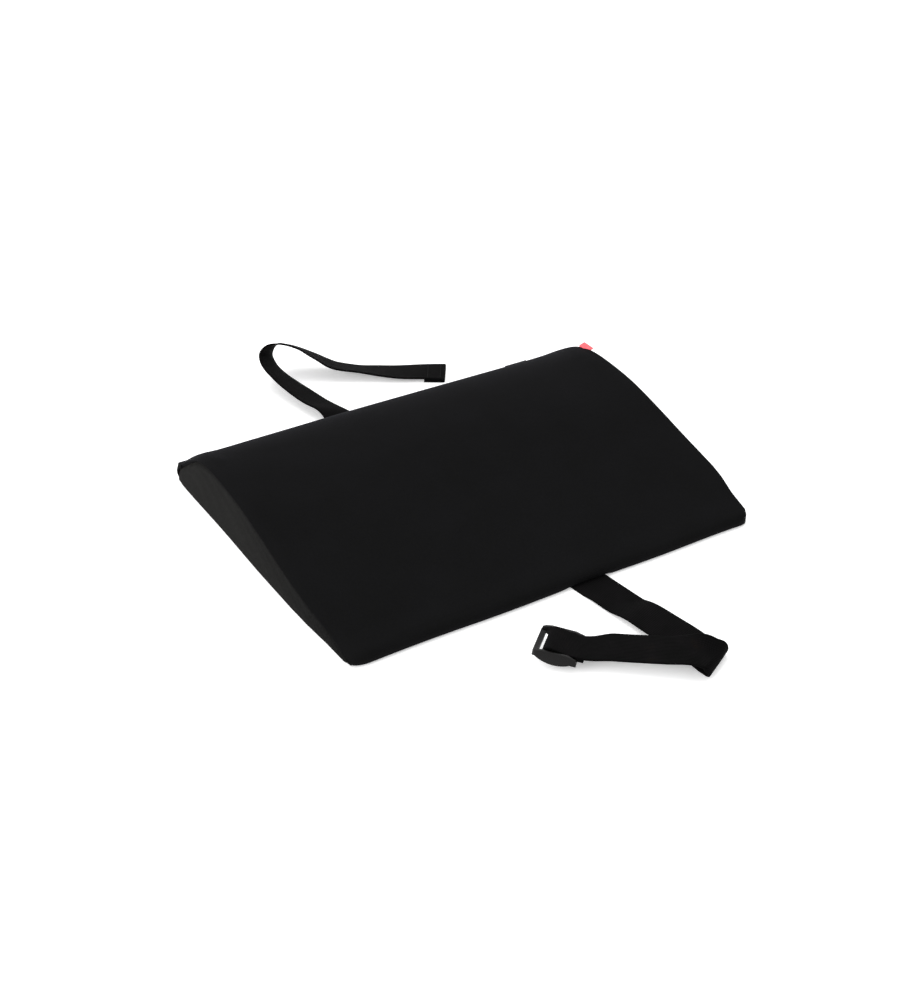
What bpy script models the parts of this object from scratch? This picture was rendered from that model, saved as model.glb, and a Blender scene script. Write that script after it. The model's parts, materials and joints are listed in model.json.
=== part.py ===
"""Lumbar support cushion: a foam wedge in a zipped fabric cover, with an elastic strap across its back.

The cushion lies on its flat back. X runs along its long edges, +X to the end with the side tag.
Y runs from the thin edge (-Y) to the blunt edge (+Y), and Z is up. The origin is in the middle of
the back, on the surface that the cushion lies on. Lengths are in millimetres until MM scales them.
"""

import math

import bmesh
import bpy
import numpy as np
from mathutils import Matrix, Vector

MM = 0.001

# Cushion
LENGTH = 380.0
DEPTH = 312.0
CREST_HEIGHT = 51.5
FABRIC = 1.2
GAP = 0.3
THIN_EDGE_HEIGHT = 9.0

# Side view of the cushion, from the thin edge over the crest to the top of the zip:
# share of the depth from the thin edge, share of the height from thin edge to crest
SLOPE = (
    (0.012, 0.0),
    (0.06, 0.07),
    (0.19, 0.28),
    (0.33, 0.52),
    (0.45, 0.74),
    (0.57, 0.925),
    (0.69, 1.0),
    (0.77, 0.985),
    (0.84, 0.855),
    (0.905, 0.58),
)
CURVE_STEPS = 4

# Zip, in a flat band along the blunt edge
ZIP_LENGTH = 340.0
ZIP_HEIGHT = 11.8
ZIP_TILT = math.radians(29.0)
ZIP_SETBACK = 4.3
TAPE_WIDTH = 6.0
TAPE_THICKNESS = 0.8
COIL_DIAMETER = 1.5
SLIDER_LENGTH = 9.0
SLIDER_PLATE = 0.8
SLIDER_CHEEK = 0.9
CROWN_LENGTH = 6.4
CROWN_WIDTH = 1.4
CROWN_HEIGHT = 2.1
PULLER_LENGTH = 22.0
PULLER_WIDTH = 4.4
PULLER_THICKNESS = 1.0
STOP_LENGTH = 2.4

# Strap: one length of elastic webbing, straight across the back at a slight slant
STRAP_WIDTH = 32.0
STRAP_THICKNESS = 1.6
STRAP_HEIGHT = STRAP_THICKNESS / 2
STRAP_SLANT = math.radians(8.0)
STRAP_X_AT_THIN_EDGE = 22.5
RUN_STARTS = 6.5
HINGE_OUT = RUN_STARTS - STRAP_THICKNESS / 2 - 1.5 * GAP
STRAP_CLEARANCE = 0.7
LAYER_GAP = 0.5

# Buckle end of the strap: a run out from the thin edge, a slanted fold and a run back to the buckle
FOLD_AT = 132.0
FOLD_TURN = math.radians(45.0)
FOLD_RADIUS = 3.2
FOLD_HUMP = 6.0
RUN_TILT = 0.05
# distance along the strap, height of its middle
OUT_HEIGHTS = ((0, 0.8), (8, 0.8), (20, 1.75), (38, 2.0), (55, 4.4), (75, 5.0), (105, 5.4), (132, 3.0))
# distance back from the fold, height added to that of the fold's upper layer
BACK_HEIGHTS = ((0, 0.0), (15, 3.4), (35, 2.4), (60, 1.2), (75, -0.4), (90, -2.4))
LOOP_AT = 117.6
LOOP_ASIDE = 1.9
LOOP_BLEND = (72.0, 90.0)

# Buckle: a three-bar strap adjuster with deep side rails
BUCKLE_HEADING = math.radians(-46.7)
BUCKLE_PITCH = math.radians(6.7)
BUCKLE_ROLL = math.radians(7.6)
BUCKLE_HEIGHT = 10.6
BUCKLE_LENGTH = 33.0
RAIL_WIDTH = 2.8
RAIL_TOP = 2.2
RAIL_DEPTH = 7.4
RAIL_END = 3.6
SLOT_CLEARANCE = 0.5
MIDDLE_BAR = 4.0
MIDDLE_BAR_AT = 12.0
END_BAR_WIDTH = 4.2
END_BAR_HEIGHT = 3.0
BAR_CLEARANCE = 0.6
TAIL_LENGTH = 25.0

# Plain end of the strap: distance out from the blunt edge, sideways, height of its middle, then the
# direction from its left edge to its right edge. It lies flat, stands up into a curl and comes back.
PLAIN_ROUTE = (
    ((-22.4, 162.6, 0.8), (0.99, 0.14, 0.0)),
    ((-23.5, 171, 1.7), (0.98, 0.16, -0.05)),
    ((-25.5, 179, 4.2), (0.96, 0.19, -0.18)),
    ((-29.0, 190, 6.0), (0.93, 0.21, -0.29)),
    ((-34.0, 208, 6.8), (0.92, 0.22, -0.34)),
    ((-38.0, 228, 8.2), (0.90, 0.23, -0.38)),
    ((-42.0, 247, 11.0), (0.86, 0.24, -0.45)),
    ((-44.5, 262, 14.5), (0.79, 0.28, -0.55)),
    ((-44.5, 273, 20.0), (0.66, 0.36, -0.67)),
    ((-40.0, 279, 27.0), (0.45, 0.60, -0.66)),
    ((-32.0, 278, 31.0), (0.34, 0.80, -0.49)),
    ((-23.5, 273, 29.5), (0.35, 0.83, -0.43)),
    ((-12.0, 266, 24.0), (0.38, 0.84, -0.38)),
    ((0.0, 258, 17.2), (0.44, 0.85, -0.30)),
    ((14.0, 247, 9.6), (0.46, 0.84, -0.28)),
    ((31.0, 236, 6.4), (0.47, 0.83, -0.29)),
    ((48.0, 226, 4.6), (0.50, 0.85, -0.18)),
    ((65.0, 215.5, 3.8), (0.52, 0.85, -0.10)),
    ((82.0, 205, 3.4), (0.53, 0.85, -0.03)),
    ((100.0, 194, 3.2), (0.53, 0.85, 0.0)),
)
HEM_LENGTH = 18.0

# Sewing thread that shows, and the side tag
THREAD = 0.3
THREAD_WIDTH = 0.8
BOX_STITCH = 26.0
LOOP_STITCH = (27.0, 7.0)
HEM_STITCH = (28.0, 11.0)
TAG_LENGTH = 18.0
TAG_REACH = 8.0
TAG_THICKNESS = 1.2
TAG_AT = 91.0
TAG_LIFT = math.radians(55.0)

COLOURS = {
    "knit_black": ((0.012, 0.012, 0.014), 0.85, 0.0),
    "panel_black": ((0.022, 0.022, 0.024), 0.9, 0.0),
    "foam_grey": ((0.32, 0.32, 0.33), 0.95, 0.0),
    "webbing_black": ((0.014, 0.013, 0.014), 0.8, 0.0),
    "acetal_black": ((0.012, 0.011, 0.011), 0.35, 0.0),
    "nylon_black": ((0.016, 0.016, 0.017), 0.5, 0.0),
    "thread_black": ((0.02, 0.02, 0.02), 0.7, 0.0),
    "enamel_black": ((0.02, 0.02, 0.021), 0.35, 1.0),
    "tag_pink": ((0.75, 0.16, 0.20), 0.8, 0.0),
}


# Scene, materials and small helpers


def clear_scene():
    for obj in list(bpy.data.objects):
        bpy.data.objects.remove(obj)


def new_collection(name, hidden=False):
    collection = bpy.data.collections.new(name)
    bpy.context.scene.collection.children.link(collection)
    collection.hide_render = hidden
    return collection


def material(name):
    found = bpy.data.materials.get(name)
    if found:
        return found
    colour, roughness, metallic = COLOURS[name]
    made = bpy.data.materials.new(name)
    made.use_nodes = True
    shader = made.node_tree.nodes["Principled BSDF"]
    shader.inputs["Base Color"].default_value = (*colour, 1.0)
    shader.inputs["Roughness"].default_value = roughness
    shader.inputs["Metallic"].default_value = metallic
    return made


def put(obj, collection):
    for old in list(obj.users_collection):
        old.objects.unlink(obj)
    collection.objects.link(obj)
    return obj


def as_cutter(obj):
    put(obj, CUTTERS)
    obj.hide_render = True
    obj.display_type = "WIRE"
    return obj


def as_part(obj, name, material_name, parent=None):
    obj.name = name
    put(obj, PARTS)
    obj.data.materials.clear()
    obj.data.materials.append(material(material_name))
    if parent is not None:
        bpy.context.view_layer.update()
        obj.parent = parent
        obj.matrix_parent_inverse = parent.matrix_world.inverted()
    return obj


def object_from(name, bm):
    bmesh.ops.recalc_face_normals(bm, faces=bm.faces)
    mesh = bpy.data.meshes.new(name)
    bm.to_mesh(mesh)
    bm.free()
    obj = bpy.data.objects.new(name, mesh)
    bpy.context.scene.collection.objects.link(obj)
    return obj


def box(name, size, place=None, bevel=0.0):
    """A box of that size in millimetres, moved by the matrix place (in metres)."""
    bm = bmesh.new()
    bmesh.ops.create_cube(bm, size=1.0)
    bmesh.ops.scale(bm, vec=Vector(size) * MM, verts=bm.verts)
    if bevel:
        edges = list(bm.edges)
        bmesh.ops.bevel(bm, geom=edges, offset=bevel * MM, segments=2, profile=0.5, affect="EDGES")
    if place is not None:
        bm.transform(place)
    return object_from(name, bm)


def rod(name, radius, length, place, sides=12):
    """A round bar along its own X axis."""
    bm = bmesh.new()
    turn = Matrix.Rotation(math.pi / 2, 4, "Y")
    bmesh.ops.create_cone(
        bm,
        cap_ends=True,
        segments=sides,
        radius1=radius * MM,
        radius2=radius * MM,
        depth=length * MM,
        matrix=turn,
    )
    bm.transform(place)
    return object_from(name, bm)


def flat_outline(name, points, thickness, place):
    """A closed outline (first plane axis, second plane axis) as a slab: its plane is the XY of place."""
    curve = bpy.data.curves.new(name, "CURVE")
    curve.dimensions = "2D"
    curve.fill_mode = "BOTH"
    curve.extrude = thickness * MM / 2
    spline = curve.splines.new("POLY")
    spline.points.add(len(points) - 1)
    for point, (x, y) in zip(spline.points, points):
        point.co = (x * MM, y * MM, 0.0, 1.0)
    spline.use_cyclic_u = True
    guide = bpy.data.objects.new(name + "_curve", curve)
    bpy.context.scene.collection.objects.link(guide)
    guide.matrix_world = place
    bpy.context.view_layer.update()
    evaluated = guide.evaluated_get(bpy.context.evaluated_depsgraph_get())
    mesh = bpy.data.meshes.new_from_object(evaluated)
    bm = bmesh.new()
    bm.from_mesh(mesh)
    bm.transform(guide.matrix_world)
    bpy.data.objects.remove(guide)
    bpy.data.meshes.remove(mesh)
    bmesh.ops.remove_doubles(bm, verts=bm.verts, dist=0.00001)
    return object_from(name, bm)


def boolean(obj, other, operation):
    """Joins, cuts or keeps the common part at once, and removes the other object."""
    modifier = obj.modifiers.new("boolean", "BOOLEAN")
    modifier.operation = operation
    modifier.solver = "EXACT"
    modifier.object = other
    bpy.context.view_layer.update()
    evaluated = obj.evaluated_get(bpy.context.evaluated_depsgraph_get())
    mesh = bpy.data.meshes.new_from_object(evaluated)
    obj.modifiers.clear()
    obj.data = mesh
    bpy.data.objects.remove(other)
    return obj


def copy_of(obj, name):
    made = obj.copy()
    made.data = obj.data.copy()
    made.name = name
    bpy.context.scene.collection.objects.link(made)
    return made


def pivot(name, place):
    """An empty on a joint's axis, which its body's pieces are parented to."""
    empty = bpy.data.objects.new(name, None)
    empty.empty_display_size = 0.01
    empty.matrix_world = place
    PARTS.objects.link(empty)
    bpy.context.view_layer.update()
    return empty


def at(x, y, z):
    return Matrix.Translation(Vector((x, y, z)) * MM)


def axes(origin, x_axis, y_axis, z_axis):
    """The matrix that puts a shape's own axes on these three directions at origin (millimetres)."""
    made = Matrix.Identity(4)
    for column, axis in enumerate((x_axis, y_axis, z_axis)):
        for row in range(3):
            made[row][column] = axis[row]
    for row in range(3):
        made[row][3] = origin[row] * MM
    return made


def smooth_step(value, low, high):
    share = min(max((value - low) / (high - low), 0.0), 1.0)
    return share * share * (3 - 2 * share)


def through(points, where):
    """A smooth curve through (position, value) points, read at one position."""
    spots = [p[0] for p in points]
    values = [np.atleast_1d(np.array(p[1], float)) for p in points]
    where = min(max(where, spots[0]), spots[-1])
    i = min(max(int(np.searchsorted(spots, where)) - 1, 0), len(spots) - 2)

    def slope(k):
        low, high = max(k - 1, 0), min(k + 1, len(spots) - 1)
        return (values[high] - values[low]) / (spots[high] - spots[low])

    span = spots[i + 1] - spots[i]
    t = (where - spots[i]) / span
    start = values[i] * (2 * t**3 - 3 * t**2 + 1) + slope(i) * span * (t**3 - 2 * t**2 + t)
    end = values[i + 1] * (3 * t**2 - 2 * t**3) + slope(i + 1) * span * (t**3 - t**2)
    return start + end


# The cushion's side view


def zip_frame():
    """Middle of the zip band, its direction down the band and its outward normal, in the YZ plane."""
    normal = Vector((math.cos(ZIP_TILT), math.sin(ZIP_TILT)))
    down = Vector((normal.y, -normal.x))
    return Vector((DEPTH / 2 - ZIP_SETBACK, ZIP_HEIGHT)), down, normal


def side_outline(inset):
    """The closed side view, moved inwards by inset: back, blunt edge, zip band, crest, thin edge."""
    middle, down, _ = zip_frame()
    half_band = TAPE_WIDTH + GAP + 0.5
    rise = CREST_HEIGHT - THIN_EDGE_HEIGHT
    slope = [(-DEPTH / 2 + d * DEPTH, THIN_EDGE_HEIGHT + h * rise) for d, h in SLOPE]
    spots = [(float(k), point) for k, point in enumerate(slope)]
    steps = (len(spots) - 1) * CURVE_STEPS
    top = [tuple(through(spots, k / CURVE_STEPS)) for k in range(steps + 1)]
    band_low = middle + down * half_band
    band_high = middle - down * half_band
    nose = [(band_low.x - 1.4, band_low.y - 3.2), (band_low.x - 5.0, 0.35), (band_low.x - 9.0, 0.0)]
    edge_radius = THIN_EDGE_HEIGHT / 2
    centre_y = -DEPTH / 2 + edge_radius
    tip = []
    for k in range(7):
        angle = math.radians(100 + k * 170 / 6)
        tip.append((centre_y + edge_radius * math.cos(angle), edge_radius * (1 + math.sin(angle))))
    outline = [(band_high.x, band_high.y), (band_low.x, band_low.y), *nose, *reversed(tip), *top[1:]]
    return moved_inwards(outline, inset)


def moved_inwards(outline, inset):
    """Each corner moved inwards, so that every side moves by inset."""
    area = sum(a[0] * b[1] - b[0] * a[1] for a, b in zip(outline, outline[1:] + outline[:1]))
    turn = 1 if area > 0 else -1
    moved = []
    for k, corner in enumerate(outline):
        before = Vector(outline[k - 1])
        after = Vector(outline[(k + 1) % len(outline)])
        here = Vector(corner)
        first = (here - before).normalized()
        second = (after - here).normalized()
        inward_1 = Vector((-first.y, first.x)) * turn
        inward_2 = Vector((-second.y, second.x)) * turn
        middle = (inward_1 + inward_2).normalized()
        moved.append(tuple(here + middle * inset / max(middle.dot(inward_1), 0.4)))
    return moved


def side_slab(name, inset, low_x, high_x):
    """The side view as a solid between two places along X."""
    place = axes(((low_x + high_x) / 2, 0, 0), (0, 1, 0), (0, 0, 1), (1, 0, 0))
    return flat_outline(name, side_outline(inset), high_x - low_x, place)


# The strap's line on the back, and the frames of its two hinges

STRAP_OUT = Vector((math.sin(STRAP_SLANT), -math.cos(STRAP_SLANT), 0))
STRAP_SIDE = Vector((math.cos(STRAP_SLANT), math.sin(STRAP_SLANT), 0))
STRAP_START = Vector((STRAP_X_AT_THIN_EDGE, -DEPTH / 2, 0))
BLUNT_EDGE_ALONG = -DEPTH / math.cos(STRAP_SLANT)
HALF_LENGTH = LENGTH / 2


def strap_place(along, height):
    """The frame on the strap's straight line: X across it, Y back towards the blunt edge."""
    origin = STRAP_START + STRAP_OUT * along + Vector((0, 0, height))
    return axes(origin, STRAP_SIDE, -STRAP_OUT, (0, 0, 1))


def channel(name, grow, top):
    """The shallow channel in the back that the strap lies in."""
    width = STRAP_WIDTH + 2 * (STRAP_CLEARANCE + grow)
    height = top + 4.0
    length = DEPTH * 1.2
    place = strap_place(BLUNT_EDGE_ALONG / 2, top - height / 2)
    return box(name, (width, length, height), place)


# Cover and foam


def build_cover_and_foam():
    strap_top = STRAP_HEIGHT + STRAP_THICKNESS / 2 + GAP
    inside_half = HALF_LENGTH - FABRIC - GAP

    shell = side_slab("cover", 0.0, -inside_half, inside_half)
    hollow = side_slab("hollow", FABRIC, -LENGTH, LENGTH)
    boolean(hollow, channel("channel_roof", FABRIC, strap_top + FABRIC), "DIFFERENCE")
    boolean(shell, hollow, "DIFFERENCE")
    boolean(shell, channel("channel", 0.0, strap_top), "DIFFERENCE")

    middle, down, normal = zip_frame()
    band_height = 2 * (TAPE_WIDTH + GAP)
    band = axes((0, middle.x, middle.y), (1, 0, 0), (0, down.x, down.y), (0, normal.x, normal.y))
    boolean(shell, box("zip_opening", (LENGTH * 2, band_height, 8 * FABRIC), band), "DIFFERENCE")
    seam_height = THIN_EDGE_HEIGHT / 2
    seam = at(0, -DEPTH / 2, seam_height)
    boolean(shell, box("thin_edge_seam", (LENGTH * 2, 4 * FABRIC, GAP), seam), "DIFFERENCE")

    above = at(0, 0, seam_height + CREST_HEIGHT)
    top_region = box("top_region", (LENGTH * 2, DEPTH * 2, 2 * CREST_HEIGHT), above)
    below_band = axes((0, middle.x, middle.y), (1, 0, 0), (0, down.x, down.y), (0, normal.x, normal.y))
    under_zip = box("under_zip", (LENGTH * 2, 40.0, 60.0), below_band @ at(0, 20.0, 0))
    boolean(top_region, under_zip, "DIFFERENCE")
    top = copy_of(shell, "cover_top_panel")
    boolean(top, copy_of(top_region, "top_copy"), "INTERSECT")
    boolean(shell, top_region, "DIFFERENCE")
    as_part(top, "cover_top_panel", "knit_black")
    as_part(shell, "cover_back_panel", "panel_black")

    foam = side_slab("foam_core", FABRIC + GAP, -inside_half, inside_half)
    roof = channel("foam_channel", FABRIC + GAP, strap_top + FABRIC + GAP)
    boolean(foam, roof, "DIFFERENCE")
    as_part(foam, "foam_core", "foam_grey")

    outer = HALF_LENGTH
    for name, low, high in (
        ("end_panel_left", -outer, -outer + FABRIC),
        ("end_panel_right", outer - FABRIC, outer),
    ):
        as_part(side_slab(name, 0.0, low, high), name, "panel_black")


# Zip


def zip_place(along, across, out):
    """A frame on the zip band: X along the zip, Y down across it, Z straight out of it."""
    middle, down, normal = zip_frame()
    origin = Vector((along, middle.x + down.x * across + normal.x * out, 0))
    origin.z = middle.y + down.y * across + normal.y * out
    return axes(origin, (1, 0, 0), (0, down.x, down.y), (0, normal.x, normal.y))


def build_zip():
    tape_length = LENGTH - 2 * (FABRIC + GAP)
    coil_out = GAP + COIL_DIAMETER / 2
    coil_across = (COIL_DIAMETER + GAP) / 2
    for side, name in ((-1, "upper"), (1, "lower")):
        tape = box(
            "zip_tape_" + name,
            (tape_length, TAPE_WIDTH - GAP, TAPE_THICKNESS),
            zip_place(0, side * (TAPE_WIDTH + GAP) / 2, -TAPE_THICKNESS / 2),
        )
        as_part(tape, "zip_tape_" + name, "nylon_black")
        coil = rod(
            "zip_coil_" + name,
            COIL_DIAMETER / 2,
            ZIP_LENGTH,
            zip_place(0, side * coil_across, coil_out),
        )
        as_part(coil, "zip_coil_" + name, "nylon_black")

    stop_size = (STOP_LENGTH, 2 * COIL_DIAMETER + GAP, COIL_DIAMETER)
    stop_at = ZIP_LENGTH / 2 + GAP + STOP_LENGTH / 2
    for name, along in (("zip_top_stop", stop_at), ("zip_bottom_stop", -stop_at)):
        stop = box(name, stop_size, zip_place(along, 0, coil_out), bevel=0.3)
        as_part(stop, name, "enamel_black")

    build_slider(coil_out)


def build_slider(coil_out):
    slider_at = ZIP_LENGTH / 2 - SLIDER_LENGTH / 2 - 1.0
    plate_low = coil_out + COIL_DIAMETER / 2 + GAP
    inner = 2 * COIL_DIAMETER + 3 * GAP
    width = inner + 2 * SLIDER_CHEEK
    base = zip_place(slider_at, 0, 0)

    slider = box("zip_slider", (SLIDER_LENGTH, width, SLIDER_PLATE), base @ at(0, 0, plate_low + SLIDER_PLATE / 2))
    cheek_height = plate_low + SLIDER_PLATE / 2 - GAP
    for side in (-1, 1):
        offset = side * (inner + SLIDER_CHEEK) / 2
        cheek = box("cheek", (SLIDER_LENGTH, SLIDER_CHEEK, cheek_height), base @ at(0, offset, GAP + cheek_height / 2))
        boolean(slider, cheek, "UNION")
    plate_top = plate_low + SLIDER_PLATE
    sunk = 0.4
    crown_middle = plate_top + (CROWN_HEIGHT - sunk) / 2
    crown = box("crown", (CROWN_LENGTH, CROWN_WIDTH, CROWN_HEIGHT + sunk), base @ at(0, 0, crown_middle))
    eye_height = PULLER_THICKNESS + 2 * GAP
    eye_length = CROWN_LENGTH - 2 * CROWN_WIDTH
    eye = box("crown_eye", (eye_length, CROWN_WIDTH * 2, eye_height), base @ at(0, 0, plate_top + eye_height / 2))
    boolean(crown, eye, "DIFFERENCE")
    boolean(slider, crown, "UNION")

    slider_pivot = pivot("zip_slide", base)
    as_part(slider, "zip_slider", "enamel_black", slider_pivot)

    bar = 1.4
    hinge_out = plate_top + GAP + PULLER_THICKNESS / 2
    hinge = base @ at(0, 0, hinge_out)
    puller_middle = bar / 2 - PULLER_LENGTH / 2
    puller = box("zip_puller", (PULLER_LENGTH, PULLER_WIDTH, PULLER_THICKNESS), hinge @ at(puller_middle, 0, 0), bevel=0.35)
    window_length = CROWN_LENGTH / 2 + 1.6
    window_width = CROWN_WIDTH + 2 * 0.5
    window_at = -bar / 2 - window_length / 2
    window = box("puller_window", (window_length, window_width, PULLER_THICKNESS * 2), hinge @ at(window_at, 0, 0))
    boolean(puller, window, "DIFFERENCE")
    puller_pivot = pivot("puller_flip", hinge)
    puller_pivot.parent = slider_pivot
    puller_pivot.matrix_parent_inverse = slider_pivot.matrix_world.inverted()
    as_part(puller, "zip_puller", "enamel_black", puller_pivot)


# Strap


def strip(name, length_points, across, place_of):
    """Webbing: a flat strip, laid along its route by place_of(along, across), then given its thickness."""
    columns = len(length_points)
    bm = bmesh.new()
    bmesh.ops.create_grid(bm, x_segments=columns - 1, y_segments=across, size=0.5)
    for vert in bm.verts:
        column = round((vert.co.x + 0.5) * (columns - 1))
        vert.co = place_of(length_points[column], vert.co.y * STRAP_WIDTH) * MM
    obj = object_from(name, bm)
    solid = obj.modifiers.new("thickness", "SOLIDIFY")
    solid.thickness = STRAP_THICKNESS * MM
    solid.offset = 0.0
    solid.use_even_offset = False
    return obj


def build_back_run():
    def place_of(along, side):
        return STRAP_START + STRAP_OUT * along + STRAP_SIDE * side + Vector((0, 0, STRAP_HEIGHT))

    start = RUN_STARTS - 2 * GAP
    run = strip("strap_back_run", [BLUNT_EDGE_ALONG - start, start], 1, place_of)
    middle = strap_place(BLUNT_EDGE_ALONG / 2, THREAD / 2 + 0.05)
    thread = stitch_frame("thread_box_stitch", BOX_STITCH, BOX_STITCH, middle)
    groove = stitch_frame("groove", BOX_STITCH, BOX_STITCH, middle, GAP)
    boolean(run, groove, "DIFFERENCE")
    as_part(run, "strap_back_run", "webbing_black")
    as_part(thread, "thread_box_stitch", "thread_black")


def stitch_frame(name, width, length, place, grow=0.0):
    """Four lines of stitching round a rectangle, or the groove they lie in if it is grown."""
    frame = box(name, (width + 2 * grow, length + 2 * grow, THREAD + 2 * grow), place)
    taken = 2 * (THREAD_WIDTH + grow)
    inner = (width - taken, length - taken, THREAD * 8)
    return boolean(frame, box("inside", inner, place), "DIFFERENCE")


# Buckle end of the strap

FOLD_NORMAL_HEADING = math.atan2(STRAP_OUT.y, STRAP_OUT.x) + FOLD_TURN / 2
FOLD_NORMAL = Vector((math.cos(FOLD_NORMAL_HEADING), math.sin(FOLD_NORMAL_HEADING), 0))
BACK_HEADING = math.atan2(STRAP_OUT.y, STRAP_OUT.x) + math.pi + FOLD_TURN
BACK_WAY = Vector((math.cos(BACK_HEADING), math.sin(BACK_HEADING), 0))
FOLD_MIDDLE = STRAP_START + STRAP_OUT * FOLD_AT
FOLD_ARC = math.pi * FOLD_RADIUS
LOOP_RADIUS = MIDDLE_BAR / 2 + BAR_CLEARANCE + STRAP_THICKNESS / 2
LOOP_MEETS = 14.0
LOOP_LIFT = 1.3


def buckle_frame():
    """Middle of the buckle's middle bar; its X runs to the strap side, Y along the bar, Z up."""
    flat_x = Vector((math.cos(BUCKLE_HEADING), math.sin(BUCKLE_HEADING), 0))
    flat_y = Vector((-flat_x.y, flat_x.x, 0))
    up = Vector((0, 0, 1))
    x_axis = flat_x * math.cos(BUCKLE_PITCH) - up * math.sin(BUCKLE_PITCH)
    y_axis = flat_y * math.cos(BUCKLE_ROLL) - up * math.sin(BUCKLE_ROLL)
    z_axis = x_axis.cross(y_axis).normalized()
    y_axis = z_axis.cross(x_axis)
    sideways = Vector((BACK_WAY.y, -BACK_WAY.x, 0)) * LOOP_ASIDE
    origin = FOLD_MIDDLE + BACK_WAY * LOOP_AT + sideways + Vector((0, 0, BUCKLE_HEIGHT))
    return origin, x_axis, y_axis, z_axis


def loop_layers(reach):
    """Heights of the two layers of webbing above the middle bar's centre, reach away from it."""
    share = smooth_step(reach, 0.0, LOOP_MEETS)
    upper = LOOP_RADIUS + (LOOP_LIFT - LOOP_RADIUS) * share
    met = LOOP_LIFT - STRAP_THICKNESS - LAYER_GAP
    lower = -LOOP_RADIUS + (met + LOOP_RADIUS) * smooth_step(reach, 1.0, LOOP_MEETS - 2.0)
    return upper, lower


def buckle_run_point(along, side):
    """Place of the buckle run's middle surface: along the webbing from the thin edge, and across it."""
    flat = STRAP_START + STRAP_OUT * along + STRAP_SIDE * side
    past = (flat - FOLD_MIDDLE).dot(FOLD_NORMAL)
    fold_height = OUT_HEIGHTS[-1][1]
    if past <= 0:
        tilt = side * RUN_TILT * smooth_step(along, 8, 22) * (1 - smooth_step(along, 40, 70))
        height = float(through(OUT_HEIGHTS, min(along, FOLD_AT))[0])
        return flat + Vector((0, 0, height - tilt))
    hump = FOLD_HUMP * max(side / STRAP_WIDTH * 2, 0) ** 2
    hump *= math.exp(-(((past - FOLD_ARC - 8) / 14) ** 2)) * min(past / FOLD_ARC, 1.0)
    if past < FOLD_ARC:
        angle = past / FOLD_RADIUS
        folded = flat + FOLD_NORMAL * (FOLD_RADIUS * math.sin(angle) - past)
        return folded + Vector((0, 0, fold_height + FOLD_RADIUS * (1 - math.cos(angle)) + hump))
    folded = flat - FOLD_NORMAL * (2 * past - FOLD_ARC)
    back = (folded - FOLD_MIDDLE).dot(BACK_WAY)
    lift = float(through(BACK_HEIGHTS, max(back, 0.0))[0])
    run = folded + Vector((0, 0, fold_height + 2 * FOLD_RADIUS + lift + hump))
    mix = smooth_step(back, *LOOP_BLEND)
    if mix == 0:
        return run
    return run.lerp(loop_point(back - LOOP_AT, side), mix)


def loop_point(beyond, across):
    """Place on the loop round the middle bar: beyond is the webbing's length past the bar's top."""
    origin, x_axis, y_axis, z_axis = buckle_frame()
    turn = math.pi * LOOP_RADIUS
    if beyond <= 0:
        x, z = -beyond, loop_layers(-beyond)[0]
    elif beyond < turn:
        angle = beyond / LOOP_RADIUS
        x, z = -LOOP_RADIUS * math.sin(angle), LOOP_RADIUS * math.cos(angle)
    else:
        x = beyond - turn
        z = loop_layers(x)[1]
    return origin + x_axis * x + y_axis * across + z_axis * z


def build_buckle_run(body):
    out = list(np.linspace(RUN_STARTS, FOLD_AT - 22, 20))
    fold = list(np.linspace(FOLD_AT - 20, FOLD_AT + 34, 36))
    back = list(np.linspace(FOLD_AT + 38, FOLD_AT + FOLD_ARC + LOOP_AT - 16, 16))
    loop_start = FOLD_AT + FOLD_ARC + LOOP_AT
    loop = list(np.linspace(loop_start - 12, loop_start - 1.5, 6))
    turn = math.pi * LOOP_RADIUS
    loop += list(np.linspace(loop_start, loop_start + turn, 9))
    loop += list(np.linspace(loop_start + turn + 2, loop_start + turn + TAIL_LENGTH, 10))
    run = strip("strap_buckle_run", out + fold + back + loop, 4, buckle_run_point)
    as_part(run, "strap_buckle_run", "webbing_black", body)

    origin, x_axis, y_axis, z_axis = buckle_frame()
    reach = TAIL_LENGTH - 6.0
    height = LOOP_LIFT + STRAP_THICKNESS / 2 + GAP + THREAD / 2
    place = axes(origin, y_axis, x_axis, -z_axis) @ at(0, reach, -height)
    as_part(stitch_frame("thread_loop_stitch", *LOOP_STITCH, place), "thread_loop_stitch", "thread_black", body)


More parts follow.
